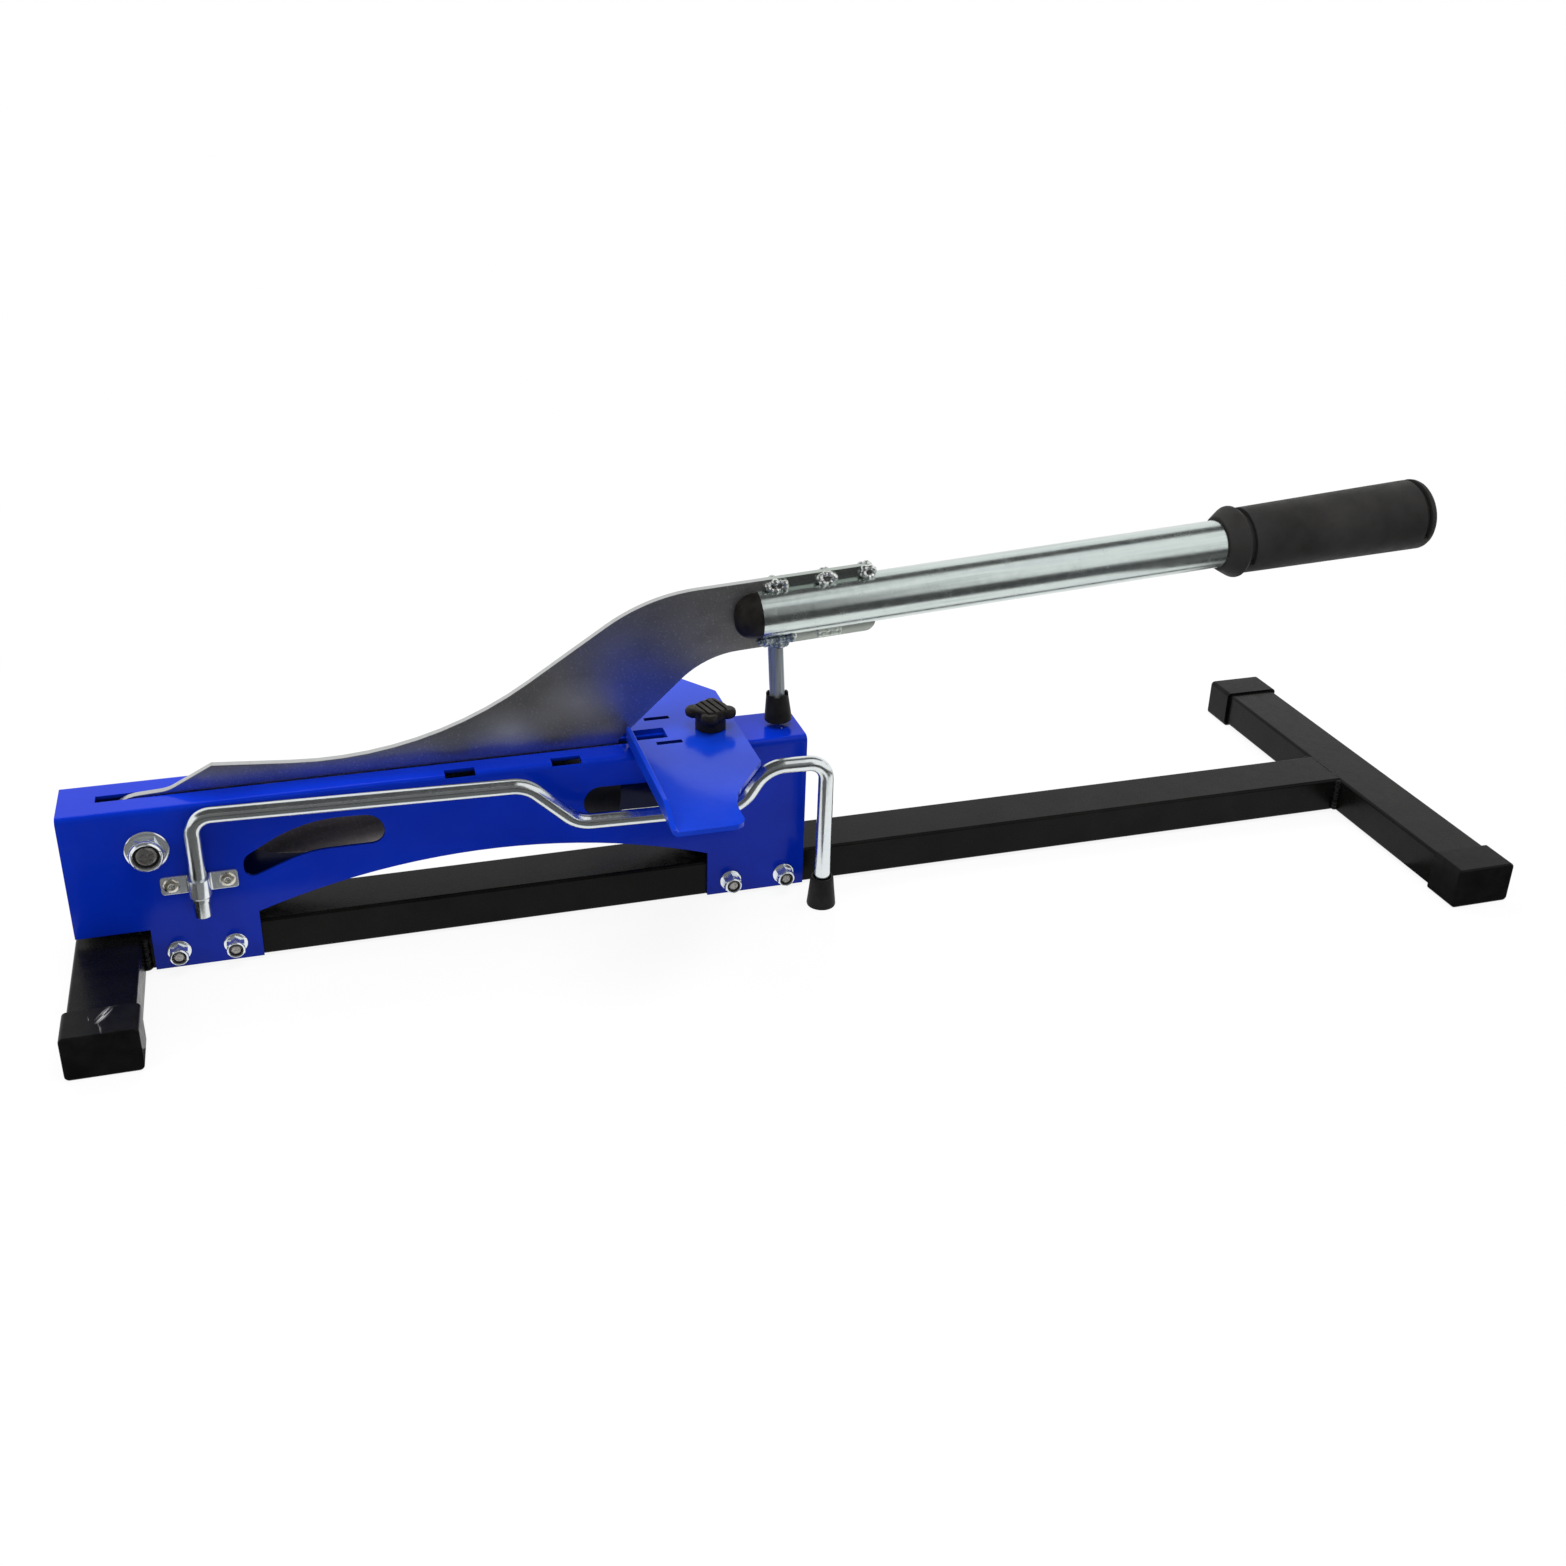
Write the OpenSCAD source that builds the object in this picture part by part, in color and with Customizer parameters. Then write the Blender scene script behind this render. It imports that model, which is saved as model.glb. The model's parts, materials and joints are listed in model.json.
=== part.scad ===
// Laminate flooring cutter: a hinged shear blade with a long lever on a low welded base.
// Millimetres. X runs along the beam towards the grip, Y away from the front, Z up from the floor.

/* [Base frame] */
// Length of the frame over both foot tubes
frame_len = 906; // [860:1:980]
// How far the frame's middle sits towards the pivot end
frame_shift = 0; // [0:0.5:12]
// Width of the rectangular tube
tube_w = 38; // [32:1:44]
// Height of the rectangular tube
tube_h = 25; // [22:1:28]
// Wall of the rectangular tube
tube_wall = 1.5; // [1.2:0.1:2.5]
// Corner radius of the rectangular tube
tube_round = 2; // [1:0.1:3]
// Length of the front foot over its caps
front_foot_len = 238; // [200:1:300]
// Length of the rear foot over its caps
rear_foot_len = 312; // [260:1:360]
// Side of the weld beads in the corners of the frame
weld_leg = 4; // [3:0.1:5]

/* [End caps] */
// Wall of the plastic end caps
cap_wall = 1.5; // [1:0.1:2.5]
// Wall of the end caps at the tube's narrow sides
cap_side = 2.3; // [1:0.1:3]
// Length of the end caps along the tube
cap_len = 26; // [18:1:34]
// Corner radius of the end caps
cap_round = 3; // [2.2:0.1:4]

/* [Cutter housing] */
// Length of the folded sheet housing
housing_len = 457; // [440:1:470]
// Step of the housing back from the outer side of the front foot
housing_set_back = 1; // [0:0.1:4]
// Height of the housing's top, where the board lies
housing_h = 112; // [108:0.5:120]
// Thickness of the housing sheet
sheet = 2.5; // [2:0.1:3]
// Outer bend radius of the housing
bend_r = 4; // [3.2:0.1:6]
// Gap between the housing's nose and the front foot tube
nose_gap = 4.4; // [2:0.1:8]
// Length of the nose that reaches over the front foot
nose_len = 43; // [42:0.5:46]
// Length of the leg below the pivot
front_leg_len = 64; // [54:1:72]
// Length of the leg at the lever end
rear_leg_len = 66; // [54:1:76]
// How far the legs stop above the beam's underside
leg_clear = 0.9; // [0.5:0.1:3]
// Depth of the arch's crown below the top
arch_drop = 54; // [48:0.5:58]
// Rise of the arch between the legs
arch_rise = 23.5; // [20:0.5:30]
// Distance of the arch's crown from the front leg
arch_crown_at = 142; // [90:1:180]

/* [Blade] */
// Thickness of the blade
blade_t = 5; // [4:0.1:6]
// Distance of the pivot from the housing's nose
pivot_set = 48; // [44:0.5:52]
// Depth of the pivot below the housing's top
pivot_drop = 26; // [24:0.5:28]
// Diameter of the pivot bolt
pivot_d = 12; // [10:0.5:14]
// Radius of the blade's heel round the pivot
heel_r = 27; // [24:0.5:29]
// Distance from the pivot to the blade's rear tip
tip_r = 290; // [280:1:296]
// How far the rear tip reaches above the housing's top
tip_over = 2; // [1:0.5:6]
// Free gap on each side of the blade in its slot
slot_gap = 1.4; // [1:0.1:2]

/* [Lever] */
// Distance along the beam from the pivot to the tube's lower end
lever_reach = 380; // [365:1:395]
// Height of the tube's lower end above the pivot
lever_rise = 105; // [95:1:115]
// Slope of the lever with the blade closed
lever_tilt = 3.5; // [2.5:0.1:5]
// Outside diameter of the lever tube
lever_d = 32; // [28:0.5:34]
// Wall of the lever tube
lever_wall = 1.5; // [1.2:0.1:2.5]
// Length of the lever tube
lever_len = 467; // [440:1:500]
// Height of the blade's tail above the tube's axis
tail_up = 22.8; // [20:0.1:24]
// Depth of the blade's tail below the tube's axis
tail_down = 22.3; // [20:0.1:24]
// Length of the blade's tail inside the tube
tail_len = 78; // [70:1:95]
// Depth of the domed plug in front of the tube
plug_depth = 16; // [8:0.5:18]
// Depth of the plug inside the tube
plug_seat = 10; // [6:0.5:14]
// Diameter of the weld spots on the tube
spot_d = 10; // [7:0.5:10]

/* [Grip] */
// Length of the grip with its collar
grip_len = 154.8; // [150:0.1:190]
// Diameter of the grip next to the collar
grip_d = 44; // [40:0.5:48]
// Diameter of the grip at its far end
grip_end_d = 48.2; // [42:0.2:50]
// Diameter of the grip's collar
collar_d = 48.4; // [46:0.2:54]
// Thickness of the grip's closed end
grip_end_wall = 10; // [8:0.5:20]
// Distance of the collar's full width from the grip's mouth
collar_at = 9; // [6:0.5:14]
// Width of the collar
collar_w = 2.5; // [2:0.5:12]
// Distance of the groove behind the collar from the grip's mouth
neck_at = 15.6; // [12:0.1:30]
// Distance of the groove round the grip from its far end
groove_at = 7.6; // [7:0.1:30]
// Rounding of the grip's far end
grip_round = 5; // [3:0.5:16]

/* [Stop and bumper] */
// Diameter of the stop rod
stop_d = 10; // [8:0.5:12]
// Distance of the stop rod from the tube's lower end
stop_at = 11; // [8:0.5:20]
// Depth of the stop rod inside the bumper
stop_seat = 15; // [8:0.5:18]
// Height of the rubber bumper
bumper_h = 19; // [18:0.5:30]
// Free height under the bumper with the blade closed
stop_gap = 3.3; // [0.3:0.1:5]
// Diameter of the bumper's foot
bumper_d = 18; // [16:0.5:22]
// Diameter of the bumper's top
bumper_top_d = 14.4; // [13.6:0.2:16]

/* [Fence] */
// Thickness of the fence plate
fence_t = 3; // [2:0.1:4]
// Distance from the pivot to the fence's stop face
fence_at = 293; // [286:0.5:300]
// Width of the fence plate along the beam
fence_w = 75; // [70:0.5:84]
// Half length of the fence across the beam
fence_half = 128; // [110:1:140]
// Width of the fence at the ends of its wings
wing_w = 45; // [38:0.5:50]
// Half length of the fence's full-width middle
fence_mid = 54; // [48:0.5:60]
// Length of the straight edge at the ends of its wings
wing_len = 32; // [24:1:34]
// Radius of the curve between a wing and the middle
wing_curve = 50; // [30:1:60]
// Height of the stop edge above the plate's underside
stop_edge_h = 13; // [9:0.5:16]
// Length of the slope at the ends of the stop edge
stop_edge_slope = 22; // [10:1:30]
// Half width of the notch for the blade
notch_half = 7.2; // [6:0.1:9]
// Depth of the notch for the blade
notch_len = 27; // [22:0.5:30]
// Length of the narrow slots beside the notch
fence_slot_len = 15.5; // [10:0.5:18]
// Width of the narrow slots
fence_slot_w = 3; // [2:0.1:5]
// Distance of the narrow slots from the blade's plane
fence_slot_y = 18; // [13:0.5:24]
// How far the narrow slots reach back beside the notch
fence_slot_back = 8.5; // [2:0.5:10]
// How far the pair of slots sits towards the far side
fence_slot_shift = 3.5; // [0:0.5:5]

/* [Knob] */
// Distance of the knob's axis from the fence's stop face
knob_at = 57; // [50:0.5:60]
// Diameter of the knob over its lobes
knob_d = 33; // [28:0.5:40]
// Number of lobes on the knob
knob_lobes = 4; // [4:1:7]
// Angle of the knob's first lobe in front of the beam's line
knob_turn = 18; // [0:1:90]
// Height of the knob's star
knob_star_h = 8.3; // [7:0.1:16]
// Diameter of the knob's hub
hub_d = 20; // [16:0.5:22]
// Height of the hub under the star
hub_h = 6.5; // [6:0.5:14]
// Diameter of the knob's stud
stud_d = 8; // [6:0.5:10]

/* [Support arm] */
// Diameter of the support arm's rod
rod_d = 10; // [8:0.5:12]
// Distance from the pivot to the arm's upright
arm_at = 27; // [25:0.5:32]
// Reach of the arm from its upright to its leg
arm_reach = 387.5; // [375:0.5:400]
// Angle of the folded arm out from the housing
arm_rest_angle = 2.7; // [2:0.1:6]
// Gap between the arm's upright and the housing
pin_gap = 1.2; // [0.8:0.1:2]
// Length of the upright below the saddle's middle
pin_below = 20.5; // [15:0.5:30]
// Height of the swelling that holds the upright under the saddle
crimp_h = 3; // [2:0.5:5]
// Bend radius of the rod's centre line
rod_bend = 12; // [11:0.5:14]
// Bend radius of the rod's centre line in its dip
dip_bend = 22; // [12:0.5:24]
// Depth of the arm's main run below the housing's top
arm_run_drop = 4; // [3:0.5:10]
// Depth of the dip below the main run
arm_dip = 29; // [22:0.5:34]
// Start of the dip from the upright
dip_from = 197; // [180:1:210]
// End of the dip from the upright
dip_to = 348; // [338:1:352]
// Slope of the rod down into the dip
dip_slope = 43; // [35:1:60]
// Slope of the rod up out of the dip
rise_slope = 58; // [45:1:70]
// Depth of the run beside the leg below the main run
arm_end_drop = 3; // [3:0.5:8]
// Height of the rubber foot
foot_h = 21; // [16:0.5:28]
// Diameter of the rubber foot on the floor
foot_d = 19; // [17:0.5:24]
// Diameter of the rubber foot's top
foot_top_d = 15; // [14:0.5:18]
// Depth of the rod inside the rubber foot
foot_seat = 15; // [10:0.5:15.5]

/* [Saddle] */
// Depth of the saddle's middle below the housing's top
saddle_drop = 51.5; // [48:0.5:56]
// Height of the saddle strap
saddle_h = 12; // [9:0.5:16]
// Thickness of the saddle strap
saddle_t = 1.5; // [1:0.1:2.5]
// Distance between the saddle's rivets
rivet_pitch = 32.4; // [30:0.2:36]
// Length of the saddle strap
saddle_len = 45; // [43:0.5:54]
// Diameter of the rivets
rivet_d = 4.8; // [3.2:0.2:5.6]

/* [Fasteners] */
// Diameter of the bolts through the beam
bolt_d = 6; // [5:0.5:8]
// Width across flats of the bolts through the beam
bolt_af = 10.5; // [9:0.5:13]
// Width across flats of the pivot bolt
pivot_af = 18.5; // [17:0.5:21]
// Height of the flange nuts' hexagons
nut_h = 7.4; // [6:0.1:9]
// How far the rear leg's bolts sit below the tube's middle
rear_bolt_drop = 2.2; // [0:0.1:3]
// Width across flats of the nut under the housing's top
stud_nut_af = 13; // [12:0.5:17]

/* [Fits] */
// Gap between pieces pushed over each other
push_fit = 0.1; // [0.05:0.01:0.2]
// Radial gap of a turning pin
run_fit = 0.06; // [0.03:0.01:0.1]
// Radial gap of a bolt in its hole
bolt_fit = 0.25; // [0.1:0.05:0.5]
// Gap between a moving piece and its neighbour
move_gap = 0.3; // [0.2:0.05:0.5]

/* [Hidden] */
$fn = 64;
cut = 1;

// Base frame
tube_z0 = cap_wall + push_fit;
tube_top = tube_z0 + tube_h;
tube_mid = tube_z0 + tube_h / 2;
front_x = -frame_len / 2 - frame_shift;
rear_x = frame_len / 2 - frame_shift;
front_foot_x = front_x + tube_w / 2;
rear_foot_x = rear_x - tube_w / 2;
beam_x0 = front_x + tube_w;
beam_x1 = rear_x - tube_w;
cap_w = tube_w + 2 * (cap_side + push_fit);
cap_h = tube_h + 2 * (cap_wall + push_fit);

// Housing
housing_x0 = front_x + housing_set_back;
housing_x1 = housing_x0 + housing_len;
housing_w = tube_w + 2 * sheet;
wall_y = housing_w / 2;
leg_z0 = tube_z0 + leg_clear;
front_leg_x = housing_x0 + nose_len;
arch_x0 = front_leg_x + front_leg_len;
arch_x1 = housing_x1 - rear_leg_len;
crown_x = arch_x0 + arch_crown_at;
crown_z = housing_h - arch_drop;
rear_bolt_z = tube_mid - rear_bolt_drop;
bolt_places = [
    [front_leg_x + 0.23 * front_leg_len, 0, tube_mid], [front_leg_x + 0.75 * front_leg_len, 0, tube_mid],
    [arch_x1 + 0.24 * rear_leg_len, 0, rear_bolt_z], [arch_x1 + 0.79 * rear_leg_len, 0, rear_bolt_z]
];

// Pivot, blade and lever, with the blade drawn round the pivot
pivot_x = housing_x0 + pivot_set;
pivot_z = housing_h - pivot_drop;
tip_top_angle = asin((pivot_drop + tip_over) / tip_r);
tip_low_angle = -4.4;
edge_angle = -22.8;
edge_knee = [75, -23.5];
edge_belly = 6.5;
back_dip = [166.5, 30.5];
tail_hump = -70;
tail_knee = -36;
heel_dent = [15, 27.8];
heel_knee = [41.3, 41.3];
heel_blend = 20;
dip_round = 230;
hump_round = 120;
tail_round = 7;
knee_round = 60;
lever_x = pivot_x + lever_reach;
lever_z = pivot_z + lever_rise;
lever_r = lever_d / 2;
plug_r = lever_r - 0.4;
plug_seat_r = lever_r - lever_wall - push_fit;
// A point on the lever, s along the tube and t above its axis, seen from the pivot
function on_lever(s, t) = [
    lever_reach + s * cos(lever_tilt) - t * sin(lever_tilt),
    lever_rise + s * sin(lever_tilt) + t * cos(lever_tilt)
];
slot_w = blade_t + 2 * slot_gap;
slot_inset = 0.5;
slot_x0 = pivot_x - heel_r + slot_inset;
slot_x1 = pivot_x + fence_at + notch_len;

// Stop: the bumper's lowest edge stays clear of the housing's top
stop_z = lever_z + stop_at * sin(lever_tilt);
bumper_low = (stop_z - housing_h - stop_gap) / cos(lever_tilt) - bumper_d / 2 * tan(lever_tilt);
bumper_top = bumper_low - bumper_h;

// Fence, from its stop face, standing on the housing's top
fence_x = pivot_x + fence_at;
fence_z = housing_h;
wing_round = 8;
wing_turn = atan2(fence_w - wing_w, fence_half - wing_len - fence_mid);
wing_fillet = min(wing_curve, (wing_len - wing_round) / tan(wing_turn / 2));
mid_round = 3;
stop_edge_round = 0.8;
knob_x = fence_x + knob_at;
knob_z = fence_z + fence_t + move_gap;

// Knob
lobe_d = 0.36 * knob_d;
core_d = 0.68 * knob_d;
crown_d = 0.62 * knob_d;
star_step = 0.8;
stud_seat = hub_h + knob_star_h / 2;
stud_z0 = housing_h - sheet - 1.2 * thin_nut_h(stud_nut_af);

// Support arm
arm_x = pivot_x + arm_at;
arm_y = -(wall_y + pin_gap + rod_d / 2);
run_z = housing_h - arm_run_drop;
saddle_z = housing_h - saddle_drop;
pin_z0 = saddle_z - pin_below;
crimp_out = pin_gap - move_gap;
square_reach = bend_reach(90, rod_bend);
dip_end = dip_from + arm_dip / tan(dip_slope);
rise_h = arm_dip - arm_end_drop;
rise_from = dip_to - rise_h / tan(rise_slope);
fall_bend = step_bend(arm_dip, dip_slope);
rise_bend = step_bend(rise_h, rise_slope);
fall_reach = bend_reach(dip_slope, fall_bend);
rise_reach = bend_reach(rise_slope, rise_bend);
// The dip's bend radius, held to what a step of this height and slope has room for
function step_bend(h, slope) = min(dip_bend, 0.45 * h / sin(slope) / tan(slope / 2));
arm_steps = [
    [run_z - pin_z0 - square_reach, -90, rod_bend],
    [dip_from - square_reach - fall_reach, -dip_slope, fall_bend],
    [arm_dip / sin(dip_slope) - 2 * fall_reach, dip_slope, fall_bend],
    [rise_from - dip_end - fall_reach - rise_reach, rise_slope, rise_bend],
    [rise_h / sin(rise_slope) - 2 * rise_reach, -rise_slope, rise_bend],
    [arm_reach - dip_to - rise_reach - square_reach, -90, rod_bend],
    [run_z - arm_end_drop - square_reach - foot_h + foot_seat, 0, 0]
];

// Fasteners: flange across, flange height and head height from the width across flats.
// The hexagons stand on a corner, and the bolts end inside the nuts' collars
hex_turn = 30;
bolt_past = 0.6;
function flange_d(af) = 1.44 * af;
function flange_h(af) = 0.14 * af;
function cone_d(af) = 1.06 * af;
function collar_top_d(af) = 1.02 * af;
function thin_nut_h(af) = 0.6 * af;
function head_h(af) = 0.5 * af;
function hex_d(af) = af / cos(30);

// Outlines: each corner is [x, y, radius], rounded by an arc between its two sides
function unit(v) = v / norm(v);
function turn(a) = a > 180 ? a - 360 : a < -180 ? a + 360 : a;
function angle_of(v) = atan2(v.y, v.x);
function arc(centre, r, from, to, steps) = [
    for (k = [0:steps]) let (a = from + (to - from) * k / steps) centre + r * [cos(a), sin(a)]
];
function corner_arc(a, b, c, r, steps) =
    let (u = unit(a - b), v = unit(c - b), half = acos(u * v) / 2)
    let (centre = b + unit(u + v) * r / sin(half), reach = r / tan(half))
    let (from = angle_of(b + u * reach - centre), sweep = turn(angle_of(b + v * reach - centre) - from))
    arc(centre, r, from, from + sweep, steps);
function flat(p) = [p.x, p.y];
function corner(a, b, c, steps) = b.z > 0 ? corner_arc(flat(a), flat(b), flat(c), b.z, steps) : [flat(b)];
function rounded(pts, steps = 10) = let (n = len(pts)) [
    for (i = [0:n - 1]) each corner(pts[(i + n - 1) % n], pts[i], pts[(i + 1) % n], steps)
];
// The same along an open line, without its two ends
function rounded_run(pts, steps = 10) = [
    for (i = [1:len(pts) - 2]) each corner(pts[i - 1], pts[i], pts[i + 1], steps)
];
// An arc from a to b that bulges to the right of the way by the given height
function bulge(a, b, height, steps) =
    let (half = norm(b - a) / 2, r = (half * half + height * height) / (2 * height), d = unit(b - a))
    let (centre = (a + b) / 2 + (r - height) * [-d.y, d.x], from = angle_of(a - centre))
    arc(centre, r, from, from + turn(angle_of(b - centre) - from), steps);

module rounded_square(w, h, r) {
    square([w - 2 * r, h], center = true);
    square([w, h - 2 * r], center = true);
    for (x = [-1, 1], y = [-1, 1]) {
        translate([x * (w / 2 - r), y * (h / 2 - r)])
            circle(r);
    }
}

// Stands a drawing of the XZ plane up, with its thickness to both sides of Y = 0
module upright(thickness) {
    rotate([90, 0, 0])
        linear_extrude(thickness, center = true)
            children();
}

// A bar along Y, from y0 to y1
module bar_y(d, y0, y1, sides = $fn) {
    translate([0, y0, 0])
        rotate([-90, 0, 0])
            cylinder(d = d, h = y1 - y0, $fn = sides);
}

module rect_tube(length) {
    linear_extrude(length, center = true)
        difference() {
            rounded_square(tube_h, tube_w, tube_round);
            rounded_square(tube_h - 2 * tube_wall, tube_w - 2 * tube_wall, tube_round / 2);
        }
}

module bolt_holes(d) {
    for (place = bolt_places) {
        translate(place)
            bar_y(d, -housing_w, housing_w);
    }
}

// Flange nut on the near wall, its thread on the Y axis
module flange_nut(af, d, seat_y) {
    difference() {
        union() {
            translate([0, seat_y, 0])
                rotate([90, 0, 0])
                    cylinder(d1 = flange_d(af), d2 = cone_d(af), h = 2 * flange_h(af));
            rotate([0, hex_turn, 0])
                bar_y(hex_d(af), seat_y - nut_h, seat_y, 6);
            bar_y(collar_top_d(af), seat_y - nut_h - flange_h(af), seat_y);
        }
        bar_y(d + 2 * run_fit, seat_y - 2 * nut_h, seat_y + cut);
    }
}

// Flange bolt with its head on the far wall and its end just past the near nut
module flange_bolt(af, d, end_y) {
    bar_y(d, end_y, wall_y + head_h(af));
    translate([0, wall_y, 0])
        rotate([-90, 0, 0])
            cylinder(d1 = flange_d(af), d2 = cone_d(af), h = 2 * flange_h(af));
    rotate([0, hex_turn, 0])
        bar_y(hex_d(af), wall_y, wall_y + head_h(af), 6);
}

module base_beam() color([0.09, 0.09, 0.1])
    difference() {
        translate([(beam_x0 + beam_x1) / 2, 0, tube_mid])
            rotate([0, 90, 0])
                rect_tube(beam_x1 - beam_x0);
        bolt_holes(bolt_d + 2 * bolt_fit);
    }

module foot_tube(x, length) color([0.09, 0.09, 0.1])
    translate([x, 0, tube_mid])
        rotate([90, 0, 0])
            rotate([0, 0, 90])
                rect_tube(length - 2 * (cap_wall + push_fit));

// One bead up each inner corner where the beam meets a foot
weld_mid = 0.55 * weld_leg;
module frame_welds() color([0.1, 0.1, 0.11])
    for (side = [-1, 1], end = [0, 1]) {
        translate([end == 0 ? beam_x0 : beam_x1, side * tube_w / 2, tube_z0 + tube_round])
            mirror([end, 0, 0])
                linear_extrude(tube_h - 2 * tube_round)
                    polygon([[0, 0], [weld_leg, 0], [weld_mid, side * weld_mid], [0, side * weld_leg]]);
    }

// Sleeve cap pushed over a foot's end, side -1 at the front and 1 at the back
module end_cap(x, length, side) color([0.06, 0.06, 0.065])
    translate([x, side * length / 2, cap_h / 2])
        rotate([90, 0, 0])
            translate([0, 0, side > 0 ? 0 : -cap_len])
                difference() {
                    linear_extrude(cap_len)
                        rounded_square(cap_w, cap_h, cap_round);
                    translate([0, 0, side > 0 ? cap_wall + push_fit : -cut])
                        linear_extrude(cap_len - cap_wall - push_fit + cut)
                            rounded_square(tube_w + 2 * push_fit, tube_h + 2 * push_fit, tube_round);
                }

module housing_section(w, top, r) {
    translate([-w / 2, 0])
        square([w, top - r]);
    translate([-w / 2 + r, 0])
        square([w - 2 * r, top]);
    for (side = [-1, 1]) {
        translate([side * (w / 2 - r), top - r])
            circle(r);
    }
}

// One half of the arch: from the crown to a leg, on a circle through both
lap = 0.01;
module arch_half(x) {
    run = abs(x - crown_x);
    r = (run * run + arch_rise * arch_rise) / (2 * arch_rise);
    intersection() {
        translate([crown_x, crown_z - r])
            circle(r, $fn = 96);
        translate([min(x, crown_x) - lap, 0])
            square([run + 2 * lap, crown_z + cut]);
    }
}

module housing_side() {
    difference() {
        translate([housing_x0, leg_z0])
            square([housing_len, housing_h - leg_z0]);
        translate([housing_x0 - cut, 0])
            square([nose_len + cut, tube_top + nose_gap]);
        arch_half(arch_x0);
        arch_half(arch_x1);
    }
}

// Lens windows: corners from the arch's front leg and from the housing's top, with their radii
front_window = [
    [-5.7, -55, 5.5], [33, -40, 70], [79.3, -40, 8], [79.3, -20, 12], [31.4, -18.2, 84], [-5.7, -39.2, 8]
];
rear_window = [[203, -39, 8], [277, -39, 9], [277, -21, 8], [203, -19, 11]];
module window_cut(corners) {
    upright(2 * housing_w)
        translate([arch_x0, housing_h])
            polygon(rounded(corners));
}

// Relief holes beside the bends, measured from the arch's front leg
relief_from = [118, 184];
relief_len = 18.5;
relief_w = 8;
relief_in = 4.8;

module cutter_housing() color([0.02, 0.13, 0.72])
    difference() {
        intersection() {
            translate([housing_x0, 0, 0])
                rotate([90, 0, 90])
                    linear_extrude(housing_len)
                        difference() {
                            housing_section(housing_w, housing_h, bend_r);
                            housing_section(tube_w, housing_h - sheet, bend_r - sheet);
                        }
            upright(housing_w + 2 * cut)
                housing_side();
        }
        window_cut(front_window);
        window_cut(rear_window);
        translate([slot_x0, -slot_w / 2, housing_h - 2 * sheet])
            cube([slot_x1 - slot_x0, slot_w, 3 * sheet]);
        for (from = relief_from, side = [-1, 1]) {
            translate([arch_x0 + from, side * (wall_y - relief_in) - relief_w / 2, housing_h - 2 * sheet])
                cube([relief_len, relief_w, 3 * sheet]);
        }
        bolt_holes(bolt_d + 2 * bolt_fit);
        translate([pivot_x, 0, pivot_z])
            bar_y(pivot_d + 2 * bolt_fit, -housing_w, housing_w);
        for (side = [-1, 1]) {
            translate([arm_x + side * rivet_pitch / 2, 0, saddle_z])
                bar_y(rivet_d + 2 * push_fit, -housing_w, 0);
        }
        translate([knob_x, 0, housing_h - 2 * sheet])
            cylinder(d = stud_d + 2 * bolt_fit, h = 3 * sheet);
    }

module housing_bolts() color([0.78, 0.79, 0.8])
    for (place = bolt_places) {
        translate(place)
            flange_bolt(bolt_af, bolt_d, -wall_y - nut_h - bolt_past * flange_h(bolt_af));
    }

module housing_nuts() color([0.78, 0.79, 0.8])
    for (place = bolt_places) {
        translate(place)
            flange_nut(bolt_af, bolt_d, -wall_y);
    }

module pivot_bolt() color([0.74, 0.75, 0.76])
    translate([pivot_x, 0, pivot_z])
        flange_bolt(pivot_af, pivot_d, -wall_y - nut_h - bolt_past * flange_h(pivot_af));

module pivot_nut() color([0.78, 0.79, 0.8])
    translate([pivot_x, 0, pivot_z])
        flange_nut(pivot_af, pivot_d, -wall_y);

// Sleeve from a wall's inner face to just clear of the blade
module pivot_spacer(side) color([0.66, 0.67, 0.68])
    translate([pivot_x, 0, pivot_z])
        mirror([0, side > 0 ? 0 : 1, 0])
            difference() {
                bar_y(1.7 * pivot_d, blade_t / 2 + move_gap, tube_w / 2);
                bar_y(pivot_d + 2 * bolt_fit, 0, tube_w);
            }

module blade_outline() {
    tip_top = tip_r * [cos(tip_top_angle), sin(tip_top_angle)];
    tip_low = tip_r * [cos(tip_low_angle), sin(tip_low_angle)];
    edge = bulge(edge_knee, tip_low, edge_belly, 16);
    polygon(concat(
        arc([0, 0], heel_r, 360 + edge_angle, 90, 30),
        rounded_run([
            [0, heel_r, 0], concat(heel_dent, heel_blend), concat(heel_knee, 2),
            concat(back_dip, dip_round), concat(on_lever(tail_hump, tail_up), hump_round),
            concat(on_lever(tail_len, tail_up), tail_round),
            concat(on_lever(tail_len, -tail_down), tail_round),
            concat(on_lever(tail_knee, -tail_down), knee_round), concat(tip_top, 0)
        ]),
        arc([0, 0], tip_r, tip_top_angle, tip_low_angle, 8),
        [for (i = [15:-1:0]) edge[i]]
    ));
}

module blade() color([0.5, 0.51, 0.52])
    translate([pivot_x, 0, pivot_z])
        difference() {
            upright(blade_t)
                blade_outline();
            bar_y(pivot_d + 2 * run_fit, -tube_w, tube_w);
        }

// Puts what is drawn along Z onto the lever's axis, from the tube's lower end
module along_lever() {
    translate([lever_x, 0, lever_z])
        rotate([0, 90 - lever_tilt, 0])
            children();
}

module tail_slot() {
    translate([-lever_d, -blade_t / 2 - push_fit, -2 * lever_d])
        cube([2 * lever_d, blade_t + 2 * push_fit, 2 * lever_d + tail_len + push_fit]);
}

module lever_tube() color([0.76, 0.77, 0.75])
    along_lever()
        difference() {
            cylinder(r = lever_r, h = lever_len);
            translate([0, 0, -cut])
                cylinder(r = lever_r - lever_wall, h = lever_len + 2 * cut);
            tail_slot();
        }

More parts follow.
